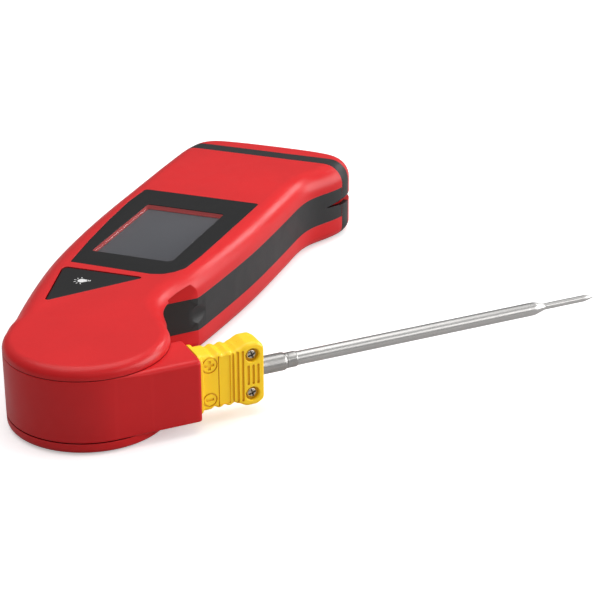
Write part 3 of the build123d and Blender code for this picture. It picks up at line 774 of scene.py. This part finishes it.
def arm_bay(clearance=0.5):
    """Space the arm turns in: hub disc, pocket, a relief on the +y side and the scoop."""
    pocket = round_poly([(50.0, -16.3), (37.3, -4.8), (34.0, -4.0), (14.0, -4.0), (10.0, -24.0),
                         (30.0, -30.0)], [0, 1.2, 0.8, 0.5, 0, 0])
    # beyond x = 31.5 the pocket is a little taller
    tall_pocket = common(prism(pocket, 2.5, 21.55), box(31.5, 60, -40, 10, 0, ABOVE))
    return join(cylinder(0, 0, BAY_LO, BAY_HI, HUB_R + clearance, 220),
                prism(pocket, BAY_LO, BAY_HI),
                tall_pocket,
                box(-30, 1.0, 18, 30, BAY_LO, BAY_HI),
                tip_scoop())


def inlay_blank(outer, skin=1.6):
    """Black inlay before the bay is cut: side strips, band and pocket liner in one."""
    inner = rounded_solid(OUTLINE, NORMALS, skin, HEIGHT - skin, np.maximum(LOWER_RIM - skin, 0.4),
                          np.maximum(UPPER_RIM - skin, 0.8), seg=6, inset=skin)
    inlay = cut(copy(outer), inner)
    zones = join(box(30.0, 143.0, -40, -4.0, STRIP_LO, STRIP_HI),
                 box(24.0, 143.0, 20, 50, STRIP_LO, STRIP_HI),
                 box(BAND_X0, BAND_X1, -45, 62, -6, HEIGHT + 6))
    inlay = common(inlay, zones)
    liner = prism([(48.5, -20.0), (35.6, -8.0), (30.6, -7.0), (30.6, -2.7), (34.3, -2.7),
                   (38.3, -3.4), (53.0, -16.6)], STRIP_LO, STRIP_HI)
    return join(inlay, common(liner, outer, keep=True))


def cut_top_openings(top):
    stem_x, stem_y = STEM
    ledge_opening = round_poly(rect(*DISPLAY, grow=-LEDGE), [1.4, 0.5, 0.5, 0.5], seg=6)
    cut(top,
        prism(WINDOW_OUTLINE, BEZEL_Z, ABOVE),
        prism(LENS_OUTLINE, LENS_Z - 0.05, ABOVE),
        prism(ledge_opening, 19.0, ABOVE),
        prism(KEY_OUTLINE, 21.35, ABOVE),
        cylinder(stem_x, stem_y, 18.0, 26.0, 2.2, 48))


def cut_bottom_openings(bottom):
    for x, y in CASE_SCREWS:
        join(bottom, cylinder(x, y, 1.0, MID_Z, 3.1, 48))
        cut(bottom,
            cylinder(x, y, BELOW, 3.4, 2.7, 48),
            cylinder(x, y, -2.0, MID_Z + 1.0, 1.3, 32))
    # pivot screw's head and shank, then the battery door's seat and opening
    cut(bottom,
        cylinder(0, 0, BELOW, 1.5, 2.7, 48),
        cylinder(0, 0, BELOW, 4.0, 1.35, 32),
        prism(round_poly(rect(*DOOR, grow=0.22), 3.22), BELOW, 1.55),
        prism(round_poly(rect(*DOOR, grow=-1.6), 2.0), BELOW, 3.0))


def paint_window_walls(top):
    """Give the walls of the lens opening their own lighter, glowing red: painted light for the light
    that reaches them through the lens.
    """
    top.data.materials.append(RED_WALL_PAINTED_LIGHT)
    x0, x1, y0, y1 = DISPLAY
    for face in top.data.polygons:
        x, y, z = (c / MM for c in face.center)
        if x0 - 0.1 < x < x1 + 0.1 and y0 - 0.1 < y < y1 + 0.1 and 21.5 < z < BEZEL_Z + 0.02:
            face.material_index = 1


def build_case():
    outer = rounded_solid(OUTLINE, NORMALS, 0.0, HEIGHT, LOWER_RIM, UPPER_RIM, seg=10)
    cavity = case_cavity()
    bay = arm_bay()
    # wedge-shaped slit, given in (x, z), in the -y side near the far end
    slit = prism_y([(134.0, 12.0), (142.0, 13.0), (160.0, 13.6), (160.0, 10.4), (142.0, 11.0)],
                   -26.0, -17.6)
    blank = inlay_blank(outer)
    grip = biggest(cut(copy(blank), bay, slit, keep=True))
    shell = cut(copy(outer), cavity, blank, bay, slit)
    drop(outer)
    beyond_band = box(BAND_X1 + 0.06, 175, -50, 65, -6, 32)
    end_cap = biggest(common(copy(shell), beyond_band, keep=True))
    cut(shell, beyond_band)
    top = biggest(common(copy(shell), box(-60, 200, -60, 80, MID_Z, 60)))
    bottom = biggest(common(shell, box(-60, 200, -60, 80, -20, MID_Z)))
    cut_top_openings(top)
    cut_bottom_openings(bottom)
    finish_piece(top, "top_shell", RED, "body")
    paint_window_walls(top)
    finish_piece(bottom, "bottom_shell", RED, "body")
    finish_piece(end_cap, "end_cap", RED, "body")
    finish_piece(grip, "grip_frame", BLACK, "body")


# ---------------------------------------------------------------- display and key
def build_bezel():
    bezel = rim_prism(inset_poly(WINDOW_OUTLINE, 0.07), BEZEL_Z, HEIGHT + 0.02, upper=0.12)
    cut(bezel, prism(LENS_OUTLINE, 20.0, ABOVE))
    finish_piece(bezel, "window_bezel", BEZEL, "body", crease=25)


def build_lens():
    lens = rim_prism(inset_poly(LENS_OUTLINE, 0.05), LENS_Z, HEIGHT - 0.03, upper=0.12, lower=0.1)
    finish_piece(lens, "display_lens", LENS, "body", crease=25)


def build_lcd_panel():
    """Three stacked panes; the smallest stands up behind the lens."""
    middle = round_poly(rect(50.0, 91.2, -2.6, 24.2), 0.3, 4)
    front = round_poly(rect(51.4, 89.8, -1.4, 23.0), 0.3, 4)
    panel = join(box(48.6, 92.6, -4.4, 26.0, 17.9, 19.9),
                 rim_prism(middle, 19.8, 20.5, upper=0.08),
                 rim_prism(front, 20.4, 22.8, upper=0.08))
    finish_piece(panel, "lcd_panel", LCD, "body", crease=25)


def build_key():
    key = rim_prism(inset_poly(KEY_OUTLINE, 0.16), 22.0, HEIGHT - 0.12, upper=0.45, steps=6)
    stem_x, stem_y = STEM
    join(key, cylinder(stem_x, stem_y, 17.35, 22.4, 1.7, 40))
    finish_piece(key, "backlight_key", KEY_BLACK, "key", crease=28)


def bulb_icon():
    """Outlines of a light bulb with two base bars and six rays, drawn upright at the origin."""
    bulb_r, bulb_y = 1.28, 0.6
    arc = []
    for k in range(33):
        t = math.radians(-52 + (180 + 104) * k / 32)
        arc.append((bulb_r * math.cos(t), bulb_r * math.sin(t) + bulb_y))
    outlines = [[(0.62, -1.05)] + arc[1:-1] + [(-0.62, -1.05)]]
    for half, high, low in ((0.62, -1.25, -1.55), (0.48, -1.75, -2.1)):
        outlines.append(round_poly([(-half, high), (-half, low), (half, low), (half, high)], 0.12))
    ray_start, ray_end, ray_half = 1.75, 2.55, 0.15
    for angle in (5, 38, 71, 109, 142, 175):
        c, s = math.cos(math.radians(angle)), math.sin(math.radians(angle))
        start = np.array([c, s]) * ray_start + [0, bulb_y]
        end = np.array([c, s]) * ray_end + [0, bulb_y]
        side = np.array([-s, c]) * ray_half
        outlines.append(round_poly([start - side, end - side, end + side, start + side], 0.1, 4))
    return outlines


def build_key_icon():
    """Bulb icon printed on the key, scaled, turned and set in place."""
    centre_x, centre_y, angle, scale = 30.9, 15.9, math.radians(20.0), 0.92
    z0, z1 = HEIGHT - 0.125, HEIGHT - 0.10
    c, s = math.cos(angle), math.sin(angle)
    bm = bmesh.new()
    for outline in bulb_icon():
        placed = np.array([(centre_x + scale * (x * c - y * s), centre_y + scale * (x * s + y * c))
                           for x, y in outline])
        points = clockwise(placed)[::-1]
        low = [bm.verts.new((x, y, z0)) for x, y in points]
        high = [bm.verts.new((x, y, z1)) for x, y in points]
        bm.faces.new(low[::-1])
        bm.faces.new(high)
        for i in range(len(points)):
            j = (i + 1) % len(points)
            bm.faces.new((low[i], low[j], high[j], high[i]))
    mesh = bpy.data.meshes.new("part")
    bm.to_mesh(mesh)
    bm.free()
    finish_piece(link_object(mesh), "key_icon", PRINT, "key", in_cad=False)


# ---------------------------------------------------------------- arm
def arm_outline(step):
    """Hub disc with a square boss on its -y side, reaching out to BOSS_END."""
    boss_y = -8.0
    start, end = math.asin(boss_y / HUB_R), math.radians(270)
    points = []
    for k in range(241):
        a = start + (end - start) * k / 240
        points.append((HUB_R * math.cos(a), HUB_R * math.sin(a)))
    boss = round_poly([(0, -HUB_R), (BOSS_END, -HUB_R), (BOSS_END, boss_y), (20.5, boss_y)],
                      [0, 0.8, 1.0, 0], 8)
    points += [tuple(p) for p in boss[1:-1]]
    return clockwise(smooth(resample(np.array(points), step), 0.35, step))


def arm_rim(outline, step):
    """Upper rim radius: small on the disc, larger on the boss, reduced at the boss's end."""
    x, y = outline[:, 0], outline[:, 1]
    on_boss = np.clip((x - 1.0) / 8.0, 0, 1) * np.clip((-y - 6.0) / 4.0, 0, 1)
    at_end = np.clip((x - 21.5) / 1.6, 0, 1) * (y > -21.0)
    return blur(0.35 + 1.15 * on_boss * (1 - 0.75 * at_end), 0.6, step)


def build_arm():
    step, gap = 0.3, 0.15
    outline = arm_outline(step)
    arm = rounded_solid(outline, smooth_normals(outline, 0.5, step), BAY_LO + gap, BAY_HI - gap,
                        0.5, arm_rim(outline, step), seg=7)
    boss_y0, boss_y1, boss_z0, boss_z1 = -19.7, -9.6, 4.85, 19.15
    cut(arm,
        cylinder(0, 0, BELOW, ABOVE, 8.0, 120),
        # ring-shaped hollow, open below, with the boss's own hollow
        join(tube(BELOW, 19.0, 20.0, 10.0, 200),
             box(6.0, 19.0, boss_y0, boss_y1, boss_z0, boss_z1)),
        # mouth of the boss
        box(18.0, 30.0, boss_y0, boss_y1, boss_z0, boss_z1),
        # wider step at the underside
        tube(BELOW, 4.9, 20.6, 9.4, 200),
        # opening through the bore's wall
        box(5.0, 13.0, -6.0, 2.4, 8.0, 16.0))
    for x, y in [(-15.0, 8.0), (-2.0, -17.0), (12.0, 12.0)]:
        join(arm, cylinder(x, y, 4.9, 19.5, 2.4, 40))
        cut(arm, cylinder(x, y, 3.0, 12.0, 0.85, 24))
    # cup hanging from the roof, trimmed to the disc
    cup_x, cup_y = 16.0, 8.4
    join(arm, common(cylinder(cup_x, cup_y, 12.0, 19.5, 2.8, 48),
                     cylinder(0, 0, 0, ABOVE, 20.5, 160)))
    cut(arm, cylinder(cup_x, cup_y, 11.0, 15.2, 2.05, 48))
    finish_piece(biggest(arm), "arm_housing", RED, "arm")


# ---------------------------------------------------------------- plug
# Grooves in both broad faces: x0, x1, z0, z1, depth, corner radius
GROOVES = [(29.55, 33.0, 5.0, 19.0, 0.34, 0.25), (29.42, 29.86, 4.7, 19.3, 0.62, 0.2)]
GROOVES += [(x, x + 0.72, 4.55, 19.45, 0.55, 0.34) for x in (33.35, 34.75, 36.15)]
GROOVES += [(x, x + 0.72, 9.1, 14.9, 0.55, 0.34) for x in (37.75, 39.15, 40.55)]


def rounded_section(half_y, half_z, r, corner_steps=7, edge_steps=6):
    """Rounded rectangle in (y, z) with a fixed point count."""
    centres = [(half_y - r, half_z - r, 0), (-(half_y - r), half_z - r, 90),
               (-(half_y - r), -(half_z - r), 180), (half_y - r, -(half_z - r), 270)]
    corners = []
    for y, z, start in centres:
        for k in range(corner_steps + 1):
            t = math.radians(start + 90 * k / corner_steps)
            corners.append((y + r * math.cos(t), z + r * math.sin(t)))
    points = []
    for i in range(len(corners)):
        p, q = np.array(corners[i]), np.array(corners[(i + 1) % len(corners)])
        points.append(p)
        if (i + 1) % (corner_steps + 1) == 0:
            points += [p + (q - p) * k / edge_steps for k in range(1, edge_steps)]
    return np.array(points)


def loft_x(stations, centre_y):
    """Loft along x through (x, half y, half z, corner radius) stations."""
    rings = []
    for x, half_y, half_z, r in stations:
        section = rounded_section(half_y, half_z, r)
        rings.append(np.column_stack([np.full(len(section), x), centre_y + section[:, 0],
                                      MID_Z + section[:, 1]]))
    return ring_solid(rings)


def plug_half_height(x):
    """Half height of the plug: three shallow waists, then a swelling towards the end."""
    def swell(centre, width):
        t = (x - centre) / width
        return 0.5 * (1 + math.cos(math.pi * t)) if abs(t) < 1 else 0.0

    half = 8.0
    for waist in (28.5, 31.3, 34.1):
        half -= 0.55 * swell(waist, 1.25)
    swell_start, swell_end = 38.2, 40.2
    if x <= swell_start:
        rise = swell(swell_start, 3.2)
    elif x < swell_end:
        rise = 1
    else:
        rise = swell(swell_end, 2.9)
    return half + 1.2 * rise


def plug_flange():
    half_y, half_z, corner = 5.32, 8.65, 2.4
    arm_rim_r, plug_rim_r = 0.12, 0.4
    stations = []
    for t in quarter(4):
        inward = arm_rim_r * (1 - math.sin(t))
        x = FLANGE_X0 + arm_rim_r * (1 - math.cos(t))
        stations.append((x, half_y - inward, half_z - inward, corner))
    for t in quarter(5):
        inward = plug_rim_r * (1 - math.cos(t))
        x = FLANGE_X1 - plug_rim_r * (1 - math.sin(t))
        stations.append((x, half_y - inward, half_z - inward, corner))
    return loft_x(stations, (FLANGE_Y0 + FLANGE_Y1) / 2)


def plug_block():
    half_y, corner, end_r = (PLUG_Y1 - PLUG_Y0) / 2, 1.15, 0.7
    stations = [(x, half_y, plug_half_height(x), corner)
                for x in np.arange(FLANGE_X1 - 0.5, 42.0, 0.22)]
    for t in quarter(6):
        x = PLUG_END - end_r * (1 - math.sin(t))
        inward = end_r * (1 - math.cos(t))
        stations.append((x, half_y - inward, plug_half_height(x) - inward * 0.9, corner))
    return loft_x(stations, (PLUG_Y0 + PLUG_Y1) / 2)


def cut_grooves(plug):
    for y0, y1 in ((PLUG_Y0 - 1.0, PLUG_Y0), (PLUG_Y1, PLUG_Y1 + 1.0)):
        for x0, x1, z0, z1, depth, r in GROOVES:
            poly = round_poly(rect(x0, x1, z0, z1), r, 6)
            if y1 == PLUG_Y0:
                cut(plug, prism_y(poly, y0, y1 + depth))
            else:
                cut(plug, prism_y(poly, y0 - depth, y1))


def cut_polarity_marks(plug, x=27.0):
    """Ringed plus and ringed minus sunk into the -y face."""
    start, ring_floor, bar_floor = PLUG_Y0 - 0.5, PLUG_Y0 + 0.34, PLUG_Y0 + 0.36
    line, bar_half = 0.44, 0.38
    for z, r, is_plus in ((17.2, 2.1, True), (7.2, 1.85, False)):
        reach = r - 0.72
        outer, inner = r + line / 2, r - line / 2
        ring = cut(lathe_y([(start, outer), (ring_floor, outer)], x, z, 72),
                   lathe_y([(start - 1, inner), (ring_floor + 1, inner)], x, z, 72))
        bars = [rect(x - reach, x + reach, z - bar_half, z + bar_half)]
        if is_plus:
            bars.append(rect(x - bar_half, x + bar_half, z - reach, z + reach))
        cut(plug, ring, *[prism_y(round_poly(bar, 0.16, 4), start, bar_floor) for bar in bars])


def cut_plug_holes(plug):
    for z in SCREW_ZS:
        counterbore = [(PLUG_Y0 - 1.0, 2.12), (PLUG_Y0 + 0.02, 2.12), (PLUG_Y0 + 0.14, 2.0),
                       (PLUG_Y0 + 1.5, 2.0)]
        shank = [(PLUG_Y0 - 1.0, 0.98), (PLUG_Y1 - 1.2, 0.98)]
        cut(plug, lathe_y(counterbore, SCREW_X, z, 72), lathe_y(shank, SCREW_X, z, 48))
    # inner chamber
    cut(plug, box(27.6, 36.4, PROBE_Y - 2.2, PROBE_Y + 2.2, 5.8, 18.2))
    # slots for the wide and narrow blades: height from the axis, width
    gap = 0.02
    for dz, width in ((-3.95, 3.2), (3.95, 2.4)):
        cut(plug, box(22.0, 28.2, PROBE_Y - 0.42, PROBE_Y + 0.42,
                      MID_Z + dz - width / 2 - gap, MID_Z + dz + width / 2 + gap))
    # probe's bore
    cut(plug, probe_lathe([(36.0, 2.53), (45.0, 2.53)], 80))


def build_plug():
    """Flanged plug, split at the probe's axis; the front half is the -y one."""
    plug = join(plug_flange(), plug_block())
    cut_grooves(plug)
    cut_polarity_marks(plug)
    cut_plug_holes(plug)
    half_gap = 0.015
    front = common(copy(plug), box(20, 60, -40, PROBE_Y - half_gap, 0, ABOVE))
    back = common(plug, box(20, 60, PROBE_Y + half_gap, 0, 0, ABOVE))
    for half, name in ((front, "plug_front_half"), (back, "plug_back_half")):
        finish_piece(biggest(half), name, YELLOW, "probe", crease=30)


def plug_screw(z):
    """Screw along y with a domed cross-recessed head towards -y and a ridged shank."""
    head_y = PLUG_Y0 + 0.45
    y = head_y + 1.05
    # distance behind the head's crown, radius
    head = [(0.0, 0.05), (0.02, 0.5), (0.10, 0.95), (0.26, 1.28), (0.5, 1.45), (0.95, 1.47),
            (1.04, 1.4), (1.05, 0.93)]
    profile = [(head_y + dy, r) for dy, r in head]
    while y < PLUG_Y1 - 1.9:
        profile += [(y + 0.1, 0.93), (y + 0.25, 0.74), (y + 0.4, 0.93)]
        y += 0.4
    profile += [(y + 0.2, 0.6), (y + 0.35, 0.1)]
    screw = lathe_y(profile, SCREW_X, z, 72)
    for angle in (20, 110):
        c, s = math.cos(math.radians(angle)), math.sin(math.radians(angle))
        # a shallow wide slot, then a deeper narrow one
        for half_width, half_length, depth in ((0.26, 1.12, 0.44), (0.20, 0.75, 0.85)):
            corners = rect(-half_length, half_length, -half_width, half_width)
            slot = [(SCREW_X + u * c - w * s, z + u * s + w * c) for u, w in corners]
            cut(screw, prism_y(slot, head_y - 0.5, head_y + depth))
    return screw


def build_plug_screws():
    lower, upper = [plug_screw(z) for z in SCREW_ZS]
    finish_piece(join(lower, upper), "plug_screws", SCREW, "probe", crease=35)


# ---------------------------------------------------------------- probe
def pressed_flats(count, depth, start, end, fade_in, fade_out, phase=0.0, power=1.0):
    """Reshaper that presses flats between two x positions, fading at both ends."""
    def reshape(x, radius, t):
        fade = np.clip(min((x - start) / fade_in, (end - x) / fade_out), 0, 1)
        off_centre = np.abs(((t * count / (2 * math.pi) + phase) % 1.0) - 0.5) * 2
        return radius - fade * depth * (1 - off_centre) ** power
    return reshape


def finish_steel(ob, name, material):
    finish_piece(ob, name, material, "probe", crease=28)


def build_crimp_ferrule():
    r = 2.5
    profile = [(37.2, 1.96), (37.2, 2.42), (37.3, r), (44.0, r)]
    profile += [(x, r) for x in np.arange(44.2, 49.4, 0.3)]
    profile += [(49.6, 2.49), (50.0, 2.40), (50.3, 2.26), (50.42, 2.12), (50.42, 1.96)]
    flats = pressed_flats(count=6, depth=0.10, start=43.6, end=50.4, fade_in=0.6, fade_out=0.5,
                          power=1.5)
    ferrule = probe_lathe(profile, 120, flats)
    cut(ferrule, probe_lathe([(36.0, 1.93), (52.0, 1.93)], 96))
    finish_steel(ferrule, "crimp_ferrule", STEEL)


def build_crimp_collar():
    r = 2.15
    profile = [(50.44, 1.96), (50.44, 2.05), (50.6, r)]
    profile += [(x, r) for x in np.arange(50.8, 53.2, 0.2)]
    profile += [(53.35, 2.12), (53.55, 2.02), (53.6, 1.98)]
    flats = pressed_flats(count=4, depth=0.13, start=50.9, end=53.2, fade_in=0.3, fade_out=0.3,
                          phase=0.35)
    collar = probe_lathe(profile, 120, flats)
    cut(collar, probe_lathe([(50.0, 1.93), (54.0, 1.93)], 96))
    finish_steel(collar, "crimp_collar", STEEL)


def build_probe_tube():
    """Hollow tube whose far end tapers down to hold the tip."""
    r, wide_bore, narrow_bore = 1.9, 1.4, 0.96
    profile = [(38.4, 1.6), (38.4, 1.88), (38.5, r)]
    profile += [(x, r) for x in np.linspace(44, TAPER_X0 - 0.6, 24)]
    profile += [(TAPER_X0 - 0.2, 1.895), (TAPER_X0 + 0.15, 1.86), (TAPER_X0 + 0.6, 1.75),
                (TAPER_X1 - 0.9, 1.28), (TAPER_X1 - 0.35, 1.13), (TAPER_X1, 1.06),
                (TAPER_X1 + 0.06, 0.97)]
    probe_tube = probe_lathe(profile, 96)
    cut(probe_tube,
        probe_lathe([(37.0, wide_bore), (TAPER_X0 - 0.5, wide_bore)], 64),
        probe_lathe([(TAPER_X0 - 3.0, narrow_bore), (TAPER_X1 + 1.0, narrow_bore)], 64))
    finish_steel(probe_tube, "probe_tube", STEEL_TUBE)


def build_probe_tip():
    """Thin hollow needle with a pointed end."""
    r, bore = 0.95, 0.65
    point_x = TIP_END - 3.8
    profile = [(TAPER_X0 - 2.0, 0.7), (TAPER_X0 - 2.0, r)]
    profile += [(x, r) for x in np.linspace(TAPER_X0, point_x - 0.3, 10)]
    profile += [(point_x, 0.945), (point_x + 0.3, 0.90), (TIP_END - 0.55, 0.26),
                (TIP_END - 0.2, 0.15), (TIP_END - 0.04, 0.06), (TIP_END, 0.01)]
    tip = probe_lathe(profile, 72)
    cut(tip, probe_lathe([(TAPER_X0 - 4.0, bore), (point_x - 1.0, bore)], 48))
    finish_steel(tip, "probe_tip", STEEL_TUBE)


# ---------------------------------------------------------------- CAD pieces that keep their mesh
CAD_MATERIALS = {
    "battery_door": RED, "door_screw": SCREW, "lcd_panel": LCD, "lcd_holder": WHITE,
    "contact_strips": SILICONE, "backlight_panel": WHITE, "main_board": BOARD,
    "meter_chips": CHIP, "key_switch": SPRING, "board_screws": SCREW, "batteries": CELL,
    "contact_springs": SPRING, "contact_bridge": SPRING, "contact_plates": SPRING,
    "case_screws": SCREW, "pivot_post": POST, "pivot_screw": SCREW, "friction_washer": SPRING,
    "lower_bush": BUSH, "upper_bush": BUSH, "upper_seal": SEAL, "lower_seal": SEAL,
    "arm_cover": RED_INSIDE, "arm_screws": SCREW, "arm_magnet": MAGNET, "reed_switch": REED,
    "socket_block": SOCKET, "socket_clip_wide": BRASS, "socket_clip_narrow": BRASS,
    "arm_leads": WIRE, "board_leads": WIRE, "pin_wide": PIN, "pin_narrow": PIN,
    "thermocouple_wires": PIN,
}


def dress_cad_pieces():
    for name, material in CAD_MATERIALS.items():
        dress(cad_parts[name], material)


# ---------------------------------------------------------------- stage (metres)
def floor_material():
    """Paper sheet: near white to the camera, greyer in the light it throws on the part.

    Seen from underneath it is clear, and what lies beyond it glows evenly.
    """
    material = bpy.data.materials.new("floor_pale")
    tree, out = blank_tree(material, "OutputMaterial")
    paper = add_node(tree, "BsdfPrincipled", {"Base Color": (0.90, 0.90, 0.90, 1),
                                              "Roughness": 0.6, "Specular IOR Level": 0.2})
    rays = add_node(tree, "LightPath")
    lift = add_node(tree, "Emission", {"Color": (1, 1, 1, 1), "Strength": 0.42})
    bright = add_node(tree, "AddShader", {0: paper.outputs[0], 1: lift.outputs[0]})
    grey = add_node(tree, "BsdfDiffuse", {"Color": (0.42, 0.41, 0.41, 1)})
    mirrored = math_node(tree, "MULTIPLY", rays.outputs["Is Glossy Ray"], 0.12)
    seen = math_node(tree, "MAXIMUM", rays.outputs["Is Camera Ray"], mirrored)
    sheet = mix_shader(tree, seen, grey.outputs[0], bright.outputs[0])
    glow = add_node(tree, "Emission", {"Color": (1, 1, 1, 1), "Strength": 0.85})
    through = math_node(tree, "GREATER_THAN", rays.outputs["Transparent Depth"], 0.5)
    lit = mix_shader(tree, through, sheet, glow.outputs[0])
    clear = add_node(tree, "BsdfTransparent")
    side = add_node(tree, "NewGeometry")
    surface = mix_shader(tree, side.outputs["Backfacing"], lit, clear.outputs[0])
    set_inputs(tree, out, {0: surface})
    return material


def build_floor():
    half, z = 3, -0.0003
    mesh = bpy.data.meshes.new("floor")
    corners = [(x, y, z) for x, y in rect(-half, half, -half, half)]
    mesh.from_pydata(corners, [], [(0, 1, 2, 3)])
    floor = bpy.data.objects.new("floor", mesh)
    bpy.context.scene.collection.objects.link(floor)
    dress(floor, floor_material())


def build_camera():
    data = bpy.data.cameras.new("camera")
    data.sensor_width = 36.0
    data.lens = 114.59
    data.clip_start = 0.01
    data.clip_end = 20.0
    camera = bpy.data.objects.new("camera", data)
    bpy.context.scene.collection.objects.link(camera)
    azimuth, dip, roll = math.radians(20.502), math.radians(24.183), -0.004
    ahead = np.array([math.cos(dip) * math.cos(azimuth), math.cos(dip) * math.sin(azimuth),
                      -math.sin(dip)])
    level_right = np.array([math.sin(azimuth), -math.cos(azimuth), 0.0])
    level_up = np.cross(level_right, ahead)
    right = math.cos(roll) * level_right + math.sin(roll) * level_up
    up = -math.sin(roll) * level_right + math.cos(roll) * level_up
    # the frame's origin as it lies from the camera, mm: right, down, ahead
    origin_from_camera = np.array([-55.899826, 30.721175, 509.187])
    location = -np.array([right, -up, ahead]).T @ origin_from_camera * MM
    matrix = Matrix([(right[i], up[i], -ahead[i], 0) for i in range(3)] + [(0, 0, 0, 1)])
    matrix.translation = Vector(location)
    camera.matrix_world = matrix
    bpy.context.scene.camera = camera


def build_world():
    """White to the camera; for lighting, grey that brightens away from the horizon."""
    world = bpy.data.worlds.new("soft")
    bpy.context.scene.world = world
    tree, out = blank_tree(world, "OutputWorld")
    direction = add_node(tree, "TexCoord")
    axes = add_node(tree, "SeparateXYZ", {0: direction.outputs["Generated"]})
    above = map_range(tree, axes.outputs["Z"], 0.10, 0.62, low=0.0, high=0.9)
    downward = math_node(tree, "MULTIPLY", axes.outputs["Z"], -1.0)
    below = map_range(tree, downward, 0.08, 0.50, low=0.0, high=0.95)
    level = math_node(tree, "MAXIMUM", above, below)
    grey = add_node(tree, "CombineColor", {0: level, 1: level, 2: level})
    room = add_node(tree, "Background", {0: grey.outputs[0], 1: 0.85})
    backdrop = add_node(tree, "Background", {0: (1, 1, 1, 1), 1: 1.0})
    rays = add_node(tree, "LightPath")
    surface = mix_shader(tree, rays.outputs["Is Camera Ray"], room.outputs[0],
                         backdrop.outputs[0])
    set_inputs(tree, out, {0: surface})


# name, location, point aimed at, width, height, watts
SOFTBOXES = [
    ("top_box", (0.12, 0.05, 0.75), (0.07, 0.0, 0), 0.9, 0.7, 3.5),
    ("right_box", (0.45, -0.80, 0.28), (0.07, -0.02, 0.01), 0.75, 0.5, 5.1),
    ("far_strip", (1.035, -0.400, 0.490), (0.10, -0.01, 0.02), 0.26, 0.26, 1.7),
    ("tube_strip", (-0.17, -0.93, 0.43), (0.10, -0.05, 0.03), 0.5, 0.4, 1.0),
    ("camera_fill", (-0.75, -0.55, 0.55), (0.05, 0, 0.01), 0.6, 0.6, 0.25),
]


def build_lights():
    for name, location, target, width, height, watts in SOFTBOXES:
        light = bpy.data.lights.new(name, "AREA")
        light.shape = "RECTANGLE"
        light.size, light.size_y = width, height
        light.energy = watts
        ob = bpy.data.objects.new(name, light)
        bpy.context.scene.collection.objects.link(ob)
        ob.location = location
        aim = Vector(target) - Vector(location)
        ob.rotation_euler = aim.to_track_quat("-Z", "Y").to_euler()


# ---------------------------------------------------------------- build
build_case()
build_bezel()
build_lens()
build_lcd_panel()
build_key()
build_key_icon()
build_arm()
build_plug()
build_plug_screws()
build_crimp_ferrule()
build_crimp_collar()
build_probe_tube()
build_probe_tip()
dress_cad_pieces()
build_floor()
build_camera()
bpy.context.scene.view_settings.view_transform = "Standard"
bpy.context.scene.view_settings.look = "None"
build_world()
build_lights()
